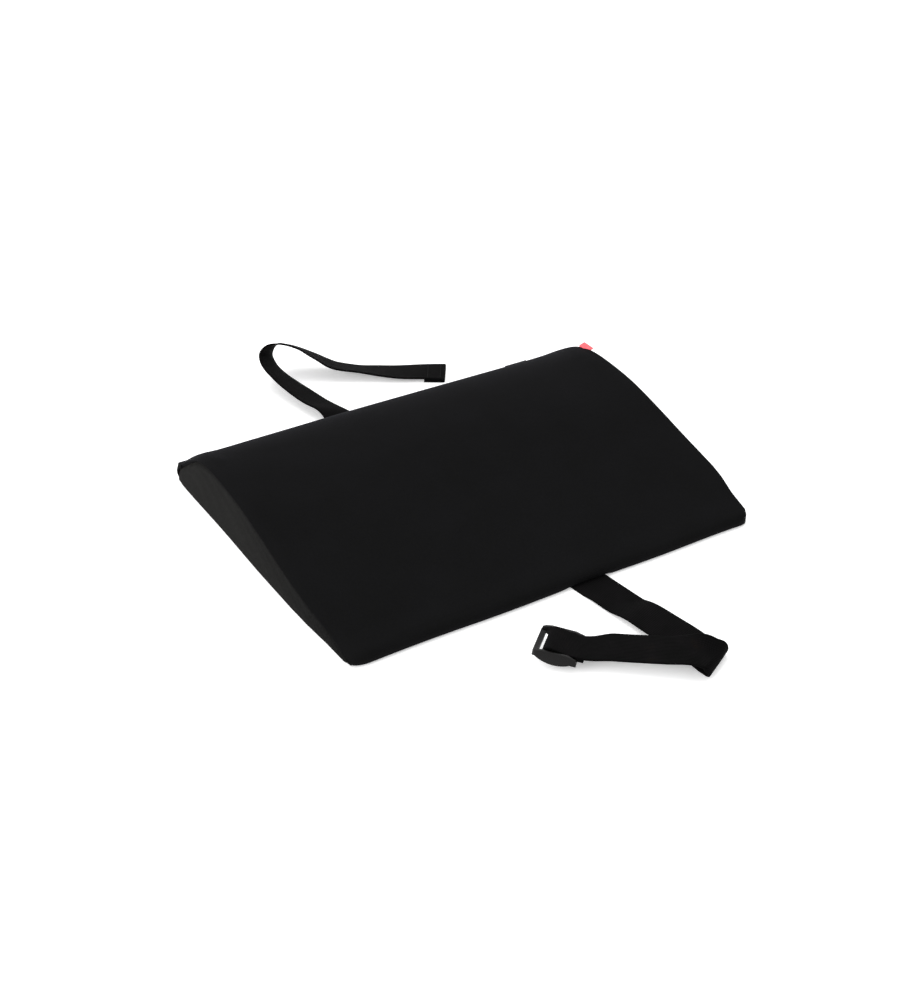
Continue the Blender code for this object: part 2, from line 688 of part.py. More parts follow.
def build_buckle(body):
    origin, x_axis, y_axis, z_axis = buckle_frame()
    frame = axes(origin, x_axis, y_axis, z_axis)
    inner = STRAP_WIDTH + 2 * SLOT_CLEARANCE
    half = BUCKLE_LENGTH / 2
    sag = RAIL_DEPTH - RAIL_END + RAIL_TOP
    radius = (half**2 + sag**2) / (2 * sag)
    centre = half - MIDDLE_BAR_AT
    outline = []
    for k in range(-8, 9):
        x = half * k / 8
        outline.append((centre + x, radius - RAIL_DEPTH - math.sqrt(radius**2 - x**2)))
    for x, z in ((half - 0.6, 0.6), (half * 0.55, RAIL_TOP), (-half * 0.55, RAIL_TOP), (-half + 0.6, 0.6)):
        outline.append((centre + x, z))
    buckle = None
    for side in (-1, 1):
        middle = side * (inner + RAIL_WIDTH) / 2
        place = frame @ axes((0, middle, 0), (1, 0, 0), (0, 0, 1), (0, -1, 0))
        rail = flat_outline("rail", outline, RAIL_WIDTH, place)
        buckle = rail if buckle is None else boolean(buckle, rail, "UNION")
    span = inner + RAIL_WIDTH
    bar_low = -END_BAR_HEIGHT / 2 - 1.4
    left = frame @ at(centre - half + END_BAR_WIDTH / 2, 0, bar_low + 0.4)
    boolean(buckle, box("outer_bar", (END_BAR_WIDTH, span, END_BAR_HEIGHT), left), "UNION")
    right_height = -END_BAR_HEIGHT - 1.0
    right = frame @ at(centre + half - END_BAR_WIDTH / 2, 0, right_height + 0.3)
    boolean(buckle, box("strap_side_bar", (END_BAR_WIDTH, span, END_BAR_HEIGHT), right), "UNION")
    turn = frame @ Matrix.Rotation(math.pi / 2, 4, "Z")
    boolean(buckle, rod("middle_bar", MIDDLE_BAR / 2, span, turn, sides=16), "UNION")
    as_part(buckle, "strap_adjuster", "acetal_black", body)


# Plain end of the strap


def plain_route():
    """Distance along the webbing, middle and across direction at each point of the route."""
    along = 0.0
    route = []
    for k, (middle, across) in enumerate(PLAIN_ROUTE):
        if k:
            along += (Vector(middle) - Vector(PLAIN_ROUTE[k - 1][0])).length
        shifted = Vector(middle) + Vector((0, DEPTH / 2 - 156.0, 0))
        route.append((along, (*shifted, *Vector(across).normalized())))
    return route


ROUTE = plain_route()
PLAIN_LENGTH = ROUTE[-1][0]
HEM_RADIUS = (STRAP_THICKNESS + LAYER_GAP) / 2


def plain_run_point(along, side):
    """Place of the plain run's middle surface, with its hem folded under at the end."""
    read = through(ROUTE, min(along, PLAIN_LENGTH))
    middle, across = Vector(read[:3]), Vector(read[3:]).normalized()
    if along <= PLAIN_LENGTH:
        return middle + across * side
    last, before = Vector(ROUTE[-1][1][:3]), Vector(ROUTE[-2][1][:3])
    ahead = (last - before).normalized()
    across = (across - ahead * across.dot(ahead)).normalized()
    down = ahead.cross(across)
    down = down if down.z < 0 else -down
    past = along - PLAIN_LENGTH
    turn = math.pi * HEM_RADIUS
    if past < turn:
        angle = past / HEM_RADIUS
        folded = ahead * math.sin(angle) + down * (1 - math.cos(angle))
        return middle + across * side + folded * HEM_RADIUS
    return middle + across * side + down * 2 * HEM_RADIUS - ahead * (past - turn)


def build_plain_run(body):
    turn = math.pi * HEM_RADIUS
    stations = list(np.linspace(0, PLAIN_LENGTH, 64))
    stations += list(PLAIN_LENGTH + np.linspace(0, turn, 5)[1:])
    stations += list(PLAIN_LENGTH + turn + np.linspace(0, HEM_LENGTH, 5)[1:])
    run = strip("strap_plain_run", stations, 1, plain_run_point)
    as_part(run, "strap_plain_run", "webbing_black", body)

    here = plain_run_point(PLAIN_LENGTH, 0)
    back = plain_run_point(PLAIN_LENGTH - HEM_LENGTH * 0.55, 0)
    ahead = (here - back).normalized()
    across = (plain_run_point(PLAIN_LENGTH, 1) - here).normalized()
    across = (across - ahead * across.dot(ahead)).normalized()
    up = ahead.cross(across)
    up = up if up.z > 0 else -up
    place = axes(back + up * (STRAP_THICKNESS / 2 + GAP + THREAD / 2 + 0.2), across, up.cross(across), up)
    as_part(stitch_frame("thread_hem_stitch", *HEM_STITCH, place), "thread_hem_stitch", "thread_black", body)


# Side tag


def build_tag():
    top = [p for p in side_outline(0.0) if p[1] > CREST_HEIGHT / 2 or p[0] < 0]
    ordered = sorted((y, z) for y, z in top if z > THIN_EDGE_HEIGHT)
    height = float(np.interp(TAG_AT, [p[0] for p in ordered], [p[1] for p in ordered]))
    reach = Vector((math.cos(TAG_LIFT), 0, math.sin(TAG_LIFT)))
    normal = Vector((-reach.z, 0, reach.x))
    start = HALF_LENGTH + GAP + TAG_THICKNESS / 2
    origin = Vector((start, TAG_AT, height - 2.0)) + reach * TAG_REACH / 2
    place = axes(origin, reach, (0, 1, 0), normal)
    tag = box("side_tag", (TAG_REACH, TAG_LENGTH, TAG_THICKNESS), place, bevel=0.3)
    as_part(tag, "side_tag", "tag_pink")


clear_scene()
PARTS = new_collection("lumbar_support_cushion")
CUTTERS = new_collection("cutters", hidden=True)

build_cover_and_foam()
build_zip()
build_back_run()

buckle_body = pivot("buckle_strap_swing", strap_place(HINGE_OUT, STRAP_HEIGHT))
build_buckle_run(buckle_body)
adjuster_body = pivot("adjuster_swing", axes(*buckle_frame()))
adjuster_body.parent = buckle_body
adjuster_body.matrix_parent_inverse = buckle_body.matrix_world.inverted()
build_buckle(adjuster_body)

plain_body = pivot("plain_strap_swing", strap_place(BLUNT_EDGE_ALONG - HINGE_OUT, STRAP_HEIGHT))
build_plain_run(plain_body)
build_tag()
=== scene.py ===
# %% [markdown]
# # A lumbar support cushion
# The cushion is a wedge of foam in a zipped black cover, with an elastic strap across its flat
# back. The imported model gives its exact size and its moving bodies. This lesson dresses that
# model: each plain solid gets a finished piece in the same place, and each piece gets a material
# of its own.

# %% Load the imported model
import json
import math

import bmesh
import bpy
import numpy as np
from mathutils import Matrix, Vector


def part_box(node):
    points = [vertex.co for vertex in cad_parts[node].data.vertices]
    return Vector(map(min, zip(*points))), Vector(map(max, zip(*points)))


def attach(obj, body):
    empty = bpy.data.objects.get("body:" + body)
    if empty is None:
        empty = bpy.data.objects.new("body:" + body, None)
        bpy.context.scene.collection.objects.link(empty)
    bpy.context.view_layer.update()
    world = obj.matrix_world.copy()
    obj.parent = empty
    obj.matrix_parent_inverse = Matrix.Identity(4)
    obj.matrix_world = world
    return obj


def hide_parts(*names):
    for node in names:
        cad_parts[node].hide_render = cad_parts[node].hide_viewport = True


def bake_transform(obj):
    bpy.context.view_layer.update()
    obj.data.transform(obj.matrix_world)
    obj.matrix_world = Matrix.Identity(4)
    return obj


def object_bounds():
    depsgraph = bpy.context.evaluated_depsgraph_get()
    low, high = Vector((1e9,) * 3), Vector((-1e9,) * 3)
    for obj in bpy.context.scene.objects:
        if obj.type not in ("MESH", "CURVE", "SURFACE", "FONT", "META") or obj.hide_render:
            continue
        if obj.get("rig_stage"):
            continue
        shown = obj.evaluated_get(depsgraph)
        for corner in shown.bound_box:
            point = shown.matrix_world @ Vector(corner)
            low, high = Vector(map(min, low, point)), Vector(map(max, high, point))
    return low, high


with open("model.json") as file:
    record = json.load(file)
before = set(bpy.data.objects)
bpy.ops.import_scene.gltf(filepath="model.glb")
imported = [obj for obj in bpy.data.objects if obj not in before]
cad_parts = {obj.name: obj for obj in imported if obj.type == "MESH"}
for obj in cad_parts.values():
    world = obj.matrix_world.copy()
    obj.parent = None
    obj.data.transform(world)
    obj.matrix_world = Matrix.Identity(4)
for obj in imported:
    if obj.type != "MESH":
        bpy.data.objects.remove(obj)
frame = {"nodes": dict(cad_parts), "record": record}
cad_low, cad_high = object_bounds()
MM = 0.001
print("size:", [round(v, 4) for v in cad_high - cad_low])

# %% [markdown]
# ## Camera
# The camera stands in front of the thin edge, to its left, and looks down at about 33 degrees. A
# long lens keeps the far edge nearly as wide as the near one. The direction is given as a vector,
# because that is easier to check than three turns.

# %% The camera
camera = bpy.data.objects.new("camera", bpy.data.cameras.new("camera"))
bpy.context.scene.collection.objects.link(camera)
bpy.context.scene.camera = camera
looks_along = Vector((0.43988, 0.71844, -0.53884))
camera.location = (-0.5953, -0.9753, 0.7290)
camera.rotation_mode = "QUATERNION"
level = looks_along.to_track_quat("-Z", "Y")
camera.rotation_quaternion = level @ Matrix.Rotation(math.radians(0.12), 4, "Z").to_quaternion()
camera.data.sensor_fit = "VERTICAL"
camera.data.sensor_height = 36
camera.data.sensor_width = 36
camera.data.lens = 58.33
print("camera at", tuple(camera.location))

# %% [markdown]
# ## Nodes and colours
# Colours are written as hex values, as a colour picker shows them. The materials work with linear
# light, so one function turns them over. A second one adds a node, its settings, its links and its
# colour stops, so that each material below reads as a short recipe.

# %% Helpers for materials


def linear(code):
    """An sRGB hex colour as linear red, green, blue and alpha."""
    made = []
    for start in (1, 3, 5):
        value = int(code[start:start + 2], 16) / 255
        made.append(value / 12.92 if value <= 0.04045 else ((value + 0.055) / 1.055) ** 2.4)
    return (*made, 1.0)


def new_material(name, colour, roughness, **settings):
    """A material with its shader's own sockets set. Returns the material and its shader."""
    made = bpy.data.materials.new(name)
    made.use_nodes = True
    shader = made.node_tree.nodes["Principled BSDF"]
    shader.inputs["Base Color"].default_value = linear(colour)
    shader.inputs["Roughness"].default_value = roughness
    for socket, value in settings.items():
        shader.inputs[socket.replace("_", " ")].default_value = value
    return made, shader


def add_node(material, kind, values=None, links=None, stops=None, **settings):
    """Adds a node. values sets its inputs, links joins outputs of other nodes to them, and stops
    are the (position, hex colour) pairs of a colour ramp."""
    tree = material.node_tree
    node = tree.nodes.new(kind)
    for name, value in settings.items():
        setattr(node, name, value)
    for socket, value in (values or {}).items():
        node.inputs[socket].default_value = value
    for socket, source in (links or {}).items():
        tree.links.new(source, node.inputs[socket])
    if stops:
        while len(node.color_ramp.elements) < len(stops):
            node.color_ramp.elements.new(1.0)
        for element, (position, code) in zip(node.color_ramp.elements, stops):
            element.position = position
            element.color = linear(code)
    return node


def join(material, source, socket):
    """Links an output to an input of the material."""
    material.node_tree.links.new(source, socket)


# Bands in one unit of length, when the scale of the wave pattern is 1.
WAVE_BANDS = 3.18
print("helpers ready; mid grey is", round(linear("#808080")[0], 3))

# %% [markdown]
# ## Knitted cover fabric
# The front is a black polyester knit: a close, soft weave with no shine of its own, but with fine
# fibres on its surface that catch light seen along it. Sheen gives that lighter bloom where the
# fabric turns away. The knit's loops are about 0.9 mm apart, which is near the finest that shows,
# so they are drawn as two crossed waves of that pitch, with a slow mottle over them.

# %% Knit material
GRAIN_MM = 1.4


def fabric_pattern(material, shader, pitch_mm, depth_mm, dark, light, mottle_mm, contrast=0.5):
    """Crossed threads as bumps, and a slow mottle between two colours, from object coordinates."""
    where = add_node(material, "ShaderNodeTexCoord").outputs["Object"]
    scale = 1000.0 / pitch_mm / WAVE_BANDS
    waves = []
    for turn in (0.0, math.pi / 2):
        rotation = {"Rotation": (0.0, 0.0, turn + 0.03)}
        turned = add_node(material, "ShaderNodeMapping", rotation, {"Vector": where})
        wave = add_node(
            material,
            "ShaderNodeTexWave",
            {"Scale": scale, "Distortion": 0.6, "Detail": 1.0, "Detail Scale": 1.5},
            {"Vector": turned.outputs["Vector"]},
        )
        waves.append(wave.outputs["Fac"])
    sources = {0: waves[0], 1: waves[1]}
    woven = add_node(material, "ShaderNodeMath", links=sources, operation="MULTIPLY")
    fine = {"Scale": 1000.0 / GRAIN_MM, "Detail": 3.0}
    grain = add_node(material, "ShaderNodeTexNoise", fine, {"Vector": where}).outputs["Fac"]
    fuzz = add_node(material, "ShaderNodeMath", {1: 0.6}, {0: grain}, operation="MULTIPLY")
    sources = {0: woven.outputs[0], 1: fuzz.outputs[0]}
    height = add_node(material, "ShaderNodeMath", links=sources, operation="ADD")
    bump = add_node(
        material,
        "ShaderNodeBump",
        {"Strength": 0.6, "Distance": depth_mm * MM},
        {"Height": height.outputs[0]},
    )
    join(material, bump.outputs["Normal"], shader.inputs["Normal"])
    slow = {"Scale": 1000.0 / mottle_mm, "Detail": 4.0}
    mottle = add_node(material, "ShaderNodeTexNoise", slow, {"Vector": where}).outputs["Fac"]
    sources = {"A": mottle, "B": grain}
    mixed = add_node(
        material, "ShaderNodeMix", {"Factor": contrast}, sources, data_type="FLOAT"
    ).outputs[0]
    stops = ((0.3, dark), (0.7, light))
    colour = add_node(material, "ShaderNodeValToRGB", links={"Fac": mixed}, stops=stops)
    join(material, colour.outputs["Color"], shader.inputs["Base Color"])


knit, knit_shader = new_material(
    "black polyester knit", "#0c0c0d", 0.9, Specular_IOR_Level=0.05,
    Sheen_Weight=0.03, Sheen_Roughness=0.35, Sheen_Tint=linear("#9a9ab8"),
)
fabric_pattern(knit, knit_shader, 0.9, 0.12, "#090909", "#0d0d0e", 38.0)
print("made", knit.name)

# %% [markdown]
# ## Plain woven fabric of the ends and the back
# The two ends and the back are a coarser brushed cloth. It is a little greyer than the knit, quite
# matt, and it has a fine fleck of lighter fibres. The fleck comes from noise at about 2 mm.

# %% End and back material
brushed, brushed_shader = new_material(
    "black brushed polyester", "#181818", 0.95, Specular_IOR_Level=0.06,
    Sheen_Weight=0.035, Sheen_Roughness=0.5, Sheen_Tint=linear("#a8a49c"),
)
fabric_pattern(brushed, brushed_shader, 1.1, 0.18, "#060606", "#141414", 2.2, 0.6)
print("made", brushed.name)

# %% [markdown]
# ## Elastic webbing
# Webbing has ribs that run along it, about 1.6 mm apart, where the rubber threads lie between the
# covering yarn. The ribs have to follow the strap round its folds, so they are drawn in the
# strap's own UV map: U is millimetres across, V is millimetres along. Fine cross threads break up
# the ribs. Where it turns over, light shows a trace of brown in the black yarn.

# %% Webbing material
RIB_MM, CROSS_MM = 1.6, 0.9
webbing, webbing_shader = new_material(
    "black elastic webbing", "#101010", 0.85, Sheen_Weight=0.01, Specular_IOR_Level=0.02
)
webbing_uv = add_node(webbing, "ShaderNodeUVMap", uv_map="webbing_mm").outputs["UV"]
rib = add_node(
    webbing,
    "ShaderNodeTexWave",
    {"Scale": 1 / RIB_MM / WAVE_BANDS, "Distortion": 0.25, "Detail": 1.0},
    {"Vector": webbing_uv},
).outputs["Fac"]
cross = add_node(
    webbing,
    "ShaderNodeTexWave",
    {"Scale": 1 / CROSS_MM / WAVE_BANDS, "Distortion": 0.8},
    {"Vector": webbing_uv},
    bands_direction="Y",
).outputs["Fac"]
less = add_node(webbing, "ShaderNodeMath", {1: 0.35}, {0: cross}, operation="MULTIPLY").outputs[0]
ribbed = add_node(webbing, "ShaderNodeMath", links={0: rib, 1: less}, operation="ADD").outputs[0]
webbing_bump = add_node(
    webbing, "ShaderNodeBump", {"Strength": 0.7, "Distance": 0.25 * MM}, {"Height": ribbed}
)
join(webbing, webbing_bump.outputs["Normal"], webbing_shader.inputs["Normal"])
yarn = add_node(
    webbing, "ShaderNodeTexNoise", {"Scale": 0.05, "Detail": 5.0}, {"Vector": webbing_uv}
).outputs["Fac"]
stops = ((0.35, "#080808"), (0.6, "#0c0b0c"), (0.75, "#120f0d"))
yarn_colour = add_node(webbing, "ShaderNodeValToRGB", links={"Fac": yarn}, stops=stops)
# Painted shade: the grooves between the ribs are darkened in the base colour, as shade would lie in
# them, and then multiplied with the yarn colour.
stops = ((0.0, "#8c8c8c"), (0.5, "#ffffff"))
shade = add_node(webbing, "ShaderNodeValToRGB", links={"Fac": rib}, stops=stops)
yarn_with_painted_groove_shade = add_node(
    webbing,
    "ShaderNodeMix",
    {"Factor": 0.5},
    {"A": yarn_colour.outputs["Color"], "B": shade.outputs["Color"]},
    data_type="RGBA",
    blend_type="MULTIPLY",
)
join(webbing, yarn_with_painted_groove_shade.outputs["Result"], webbing_shader.inputs["Base Color"])
print("made", webbing.name)

# %% [markdown]
# ## Plastic, enamel, nylon, thread and tape
# The adjuster is moulded acetal: dense, dark and glossy, with a very faint ripple from the mould.
# The zip's slider is zinc with black enamel, and its coils and tapes are nylon. Sewing thread is
# black polyester. The side tag is a folded coral tape with a fine weave and nothing printed on it.

# %% Materials of the small parts


def rippled(name, colour, roughness, scale_mm, depth_mm, **settings):
    """A smooth moulded or painted surface with a faint ripple and slight change in gloss."""
    material, shader = new_material(name, colour, roughness, **settings)
    where = add_node(material, "ShaderNodeTexCoord").outputs["Object"]
    blobs = {"Scale": 1000.0 / scale_mm, "Detail": 3.0}
    ripple = add_node(material, "ShaderNodeTexNoise", blobs, {"Vector": where}).outputs["Fac"]
    bump = add_node(
        material, "ShaderNodeBump", {"Strength": 0.4, "Distance": depth_mm * MM}, {"Height": ripple}
    )
    join(material, bump.outputs["Normal"], shader.inputs["Normal"])
    gloss = add_node(
        material,
        "ShaderNodeMapRange",
        {"From Min": 0.3, "From Max": 0.7, "To Min": roughness * 0.8, "To Max": roughness * 1.25},
        {"Value": ripple},
    )
    join(material, gloss.outputs["Result"], shader.inputs["Roughness"])
    return material


acetal = rippled("moulded black acetal", "#080707", 0.27, 5.0, 0.03, Specular_IOR_Level=0.14)
enamel = rippled("black enamel on zinc", "#141415", 0.22, 3.0, 0.02, Coat_Weight=0.5)
nylon = rippled("black nylon coil", "#161617", 0.4, 1.2, 0.05)

tape, tape_shader = new_material("woven nylon zip tape", "#161618", 0.85)
fabric_pattern(tape, tape_shader, 0.7, 0.1, "#131314", "#1b1b1d", 12.0)
thread, thread_shader = new_material(
    "black polyester thread", "#0e0e0f", 0.7, Specular_IOR_Level=0.15
)
fabric_pattern(thread, thread_shader, 0.5, 0.08, "#0c0c0d", "#121213", 6.0)
coral, coral_shader = new_material("coral woven tape", "#f2545c", 0.75, Sheen_Weight=0.2)
fabric_pattern(coral, coral_shader, 0.6, 0.08, "#ea4450", "#f8646a", 5.0)
print("made", len(bpy.data.materials), "materials")

# %% [markdown]
# ## The outline of the cushion
# Every soft piece follows the same side view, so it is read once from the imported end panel: the
# outer face's corners, in order round the panel. Positions along it are then found by length. The
# outline can also be moved inwards, which the seams need.

# %% Read the side view
end_low, end_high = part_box("end_panel_right")
half_length = end_high.x
thin_y, blunt_y, crest_z = end_low.y, end_high.y, end_high.z

corners = {
    (round(v.co.y, 6), round(v.co.z, 6))
    for v in frame["nodes"]["end_panel_right"].data.vertices
    if v.co.x > half_length - 1e-5
}
INSIDE = Vector((0.04, 0.02))
corners = sorted(corners, key=lambda c: math.atan2(c[1] - INSIDE.y, c[0] - INSIDE.x))
outline = [Vector(c) for c in corners]


def spaced(line, step):
    """The same line with points at an even spacing, near step."""
    lengths = np.concatenate([[0], np.cumsum([(b - a).length for a, b in zip(line, line[1:])])])
    count = max(2, round(lengths[-1] / step) + 1)
    reads = np.linspace(0, lengths[-1], count)
    columns = [np.interp(reads, lengths, [p[k] for p in line]) for k in range(len(line[0]))]
    return [Vector(values) for values in zip(*columns)]


def inward(points):
    """Unit direction into the closed outline at each point (the outline runs anticlockwise)."""
    made = []
    for k, here in enumerate(points):
        along = (points[(k + 1) % len(points)] - points[k - 1]).normalized()
        made.append(Vector((-along.y, along.x)))
    return made


strap_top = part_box("strap_back_run")[1].z
SLANT = math.radians(8.0)
strap_out = Vector((math.sin(SLANT), -math.cos(SLANT), 0))
strap_side = Vector((math.cos(SLANT), math.sin(SLANT), 0))
strap_start = Vector((22.5 * MM, thin_y, 0))
STRAP_WIDTH = 32.0 * MM

print(len(outline), "corners; crest at", round(crest_z * 1000, 1), "mm")

# %% [markdown]
# ## Where the panels meet
# The front panel starts just under the thin edge, where its seam doesn't show, runs over the crest
# and ends at the zip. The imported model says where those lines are. Between them the pad is closed
# on the inside: behind the zip and above the back panel, where nothing shows.

# %% Front panel's path
zip_top_low, zip_top_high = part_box("zip_tape_upper")
zip_bottom_low, zip_bottom_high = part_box("zip_tape_lower")
starts_under = Vector((thin_y + 4.4 * MM, 0.1 * MM))
start_at = min(range(len(outline)), key=lambda k: (outline[k] - starts_under).length)
ordered = outline[start_at:] + outline[:start_at]
ordered = [ordered[0]] + ordered[:0:-1]
end_of_front = Vector((zip_top_low.y, zip_top_high.z))
front_path = []
for point in ordered:
    if point.x > 0.1 and point.y < end_of_front.y + 0.5 * MM:
        break
    front_path.append(point)
front_path.append(end_of_front)
over_tip = [p for p in front_path[:40] if p.x < thin_y + 12 * MM]
front_path = spaced(over_tip, 1.5 * MM)[:-1] + spaced(front_path[len(over_tip) - 1:], 5.0 * MM)
print(len(front_path), "points over the front")

# %% [markdown]
# ## The padded front
# Foam in a fitted cover swells a little between its seams, and the seams hold it in. The pad
# starts slightly too small, as a tube of even squares along the cushion, and cloth simulation with
# air pressure fills it. The rows at the seams, the ends and the hidden underside are pinned. How
# far a point may move is capped, so that it keeps the true height.

# %% Build the pad's starting shape


def mesh_object(name, bm, material):
    """An object from a bmesh, at the origin, with one material."""
    mesh = bpy.data.meshes.new(name)
    bm.to_mesh(mesh)
    bm.free()
    made = bpy.data.objects.new(name, mesh)
    bpy.context.scene.collection.objects.link(made)
    made.data.materials.append(material)
    return made


def step_between(value, low, high):
    """0 below low, 1 above high, and a smooth step between them."""
    share = min(max((value - low) / (high - low), 0.0), 1.0)
    return share * share * (3 - 2 * share)


def only(obj):
    """Deselects everything, then selects and activates obj."""
    bpy.ops.object.select_all(action="DESELECT")
    obj.select_set(True)
    bpy.context.view_layer.objects.active = obj


def apply_all(obj):
    """Turns the object's modifiers into mesh, in their order."""
    only(obj)
    for modifier in list(obj.modifiers):
        bpy.ops.object.modifier_apply(modifier=modifier.name)


def smooth(obj, angle):
    """Shades the mesh smooth, apart from edges sharper than angle."""
    only(obj)
    bpy.ops.object.shade_smooth_by_angle(angle=math.radians(angle))


# How far the front lies inside the outline: in the middle, at the ends and at the tip.
SEAM_INSET, AT_END, AT_TIP = 0.8 * MM, -0.2 * MM, -0.9 * MM
PAD_END = half_length - 2.5 * MM
# How much further in the front is towards its left end: (mm from the end, mm in). The right end
# has only a share of it.
ROLL = ((0.0, 2.3), (2.0, 1.55), (4.5, 0.8), (7.5, 0.28), (11.0, 0.0))
ROLL_RIGHT = 0.2
UNDERSIDE = 3.6 * MM
MIDDLE_COLUMNS = 63

first, last = front_path[0], front_path[-1]
behind_top = last + Vector((-4.0, -2.0)) * MM
behind_bottom = Vector((zip_bottom_high.y - 5.0 * MM, zip_bottom_low.z + 1.0 * MM))
hidden = [behind_top, behind_bottom, Vector((behind_bottom.x - 6 * MM, UNDERSIDE))]
hidden += [Vector((first.x + 6.0 * MM, UNDERSIDE + 0.6 * MM))]
hidden_path = spaced([last, *hidden, first], 9.0 * MM)[1:-1]

ring = front_path + hidden_path
ring_in = inward(ring[::-1])[::-1]
inner_end = PAD_END - 13.0 * MM
right_side = [PAD_END - back * MM for back, drop in reversed(ROLL)]
spots = [-x for x in reversed(right_side)]
spots += list(np.linspace(-inner_end, inner_end, MIDDLE_COLUMNS)) + right_side
columns = len(spots) - 1
pad_bm = bmesh.new()
grid = []
for x in spots:
    loop = []
    for k, point in enumerate(ring):
        drop = np.interp(PAD_END - abs(x), [b * MM for b, d in ROLL], [d * MM for b, d in ROLL])
        drop *= 1.0 if x < 0 else ROLL_RIGHT
        to_end = step_between(PAD_END - abs(x), 2 * MM, 22 * MM)
        to_tip = step_between(point.x - thin_y, 1 * MM, 26 * MM) if point.x < 0 else 1.0
        base = AT_END + (SEAM_INSET - AT_END) * to_end
        base = base * to_tip + AT_TIP * (1 - to_tip)
        move = base + drop if k < len(front_path) else 0.0
        place = point + ring_in[k] * move
        loop.append(pad_bm.verts.new((x, place.x, place.y)))
    grid.append(loop)
for a, b in zip(grid, grid[1:]):
    for k in range(len(ring)):
        n = (k + 1) % len(ring)
        pad_bm.faces.new((a[k], a[n], b[n], b[k]))
pad_bm.faces.new(grid[0])
pad_bm.faces.new(grid[-1])
bmesh.ops.recalc_face_normals(pad_bm, faces=pad_bm.faces)
pad = mesh_object("padded_front", pad_bm, knit)
rest = np.array([v.co for v in pad.data.vertices])
print("pad starts with", len(pad.data.polygons), "faces")

# %% Fill it with cloth simulation
CLOTH_FRAMES = 20
pinned = pad.vertex_groups.new(name="held")
for vert in pad.data.vertices:
    column, row = divmod(vert.index, len(ring))
    if column in (0, columns) or row == 0 or row >= len(front_path) - 1:
        pinned.add([vert.index], 1.0, "REPLACE")

cloth = pad.modifiers.new("cloth", "CLOTH")
cloth.settings.quality = 6
cloth.settings.mass = 0.3
cloth.settings.tension_stiffness = 20
cloth.settings.compression_stiffness = 20
cloth.settings.bending_stiffness = 2.0
cloth.settings.use_pressure = True
cloth.settings.uniform_pressure_force = 4.0
cloth.settings.effector_weights.gravity = 0.0
cloth.settings.vertex_group_mass = "held"
cloth.collision_settings.use_collision = False
for step in range(1, CLOTH_FRAMES + 1):
    bpy.context.scene.frame_set(step)
apply_all(pad)
bpy.context.scene.frame_set(1)

moved = np.array([v.co for v in pad.data.vertices]) - rest
far = np.linalg.norm(moved, axis=1)
print("cloth moved points up to", round(float(far.max()) * 1000, 1), "mm")

# %% Cap the swelling and shape the panel
MOST_SWELL = 1.5 * MM


def narrowing(x, y):
    """How far the cover is pulled in at the corners of its thin edge, along X."""
    from_tip = (y - thin_y) * 1000
    right = np.interp(from_tip, (0, 10, 29, 48, 62), (9.5, 7.6, 5.6, 1.4, 0.0))
    left = np.interp(from_tip, (0, 10, 36, 66, 90), (4.0, 3.6, 3.0, 0.9, 0.0))
    return x / half_length * (right if x > 0 else left) * MM


def round_corner(place, radius):
    """Moves a point at a corner of the thin edge onto an arc, seen from above."""
    beyond_x = radius - (half_length - abs(place.x))
    beyond_y = radius - (place.y - thin_y)
    if beyond_x <= 0 or beyond_y <= 0:
        return
    reach = math.hypot(beyond_x, beyond_y)
    if reach > radius:
        place.x -= math.copysign(beyond_x * (1 - radius / reach), place.x)
        place.y += beyond_y * (1 - radius / reach)


normals = [v.normal.copy() for v in pad.data.vertices]
for vert in pad.data.vertices:
    row = vert.index % len(ring)
    start = Vector(rest[vert.index])
    move = Vector(moved[vert.index])
    if row >= len(front_path):
        vert.co = start
        continue
    swell = min(move.length, MOST_SWELL * 2) / 2
    to_end = half_length - abs(start.x)
    puckers = math.sin(start.y / (15 * MM)) + 0.6 * math.sin(start.y / (8.3 * MM) + 1.1)
    gather = 0.4 * MM * puckers * math.exp(-(to_end / (12 * MM)))
    slow = 0.35 * MM * math.sin(start.x / (61 * MM) + start.y / (47 * MM))
    slow *= step_between(to_end, 0, 50 * MM)
    low_down = step_between(start.z, 1.5 * MM, 9 * MM)
    bulge = (swell + slow) * low_down * step_between(to_end, 2 * MM, 16 * MM) + gather
    vert.co = start + normals[vert.index] * bulge
    waves = 0.5 * MM * math.sin(start.x / (23 * MM) + 0.7)
    waves *= step_between(thin_y + 20 * MM - start.y, 0, 20 * MM)
    vert.co.y += waves * step_between(to_end, 4 * MM, 20 * MM)
    aside = abs((Vector((vert.co.x, vert.co.y, 0)) - strap_start).dot(strap_side))
    roof = 2.6 * MM * (1 - step_between(aside, 17 * MM, 24 * MM))
    if start.y < 0:
        vert.co.z = max(vert.co.z, roof)
print("swelling kept to", MOST_SWELL * 1000, "mm")

# %% [markdown]
# ## The seam at each end
# The front panel turns over the end and is sewn to the end panel inside the edge. That leaves a
# thin dark crease between two soft rolls. Here the pad's open end is extruded in small steps: out
# and over, then back in, so the crease has real depth. The tube's ends are then closed.

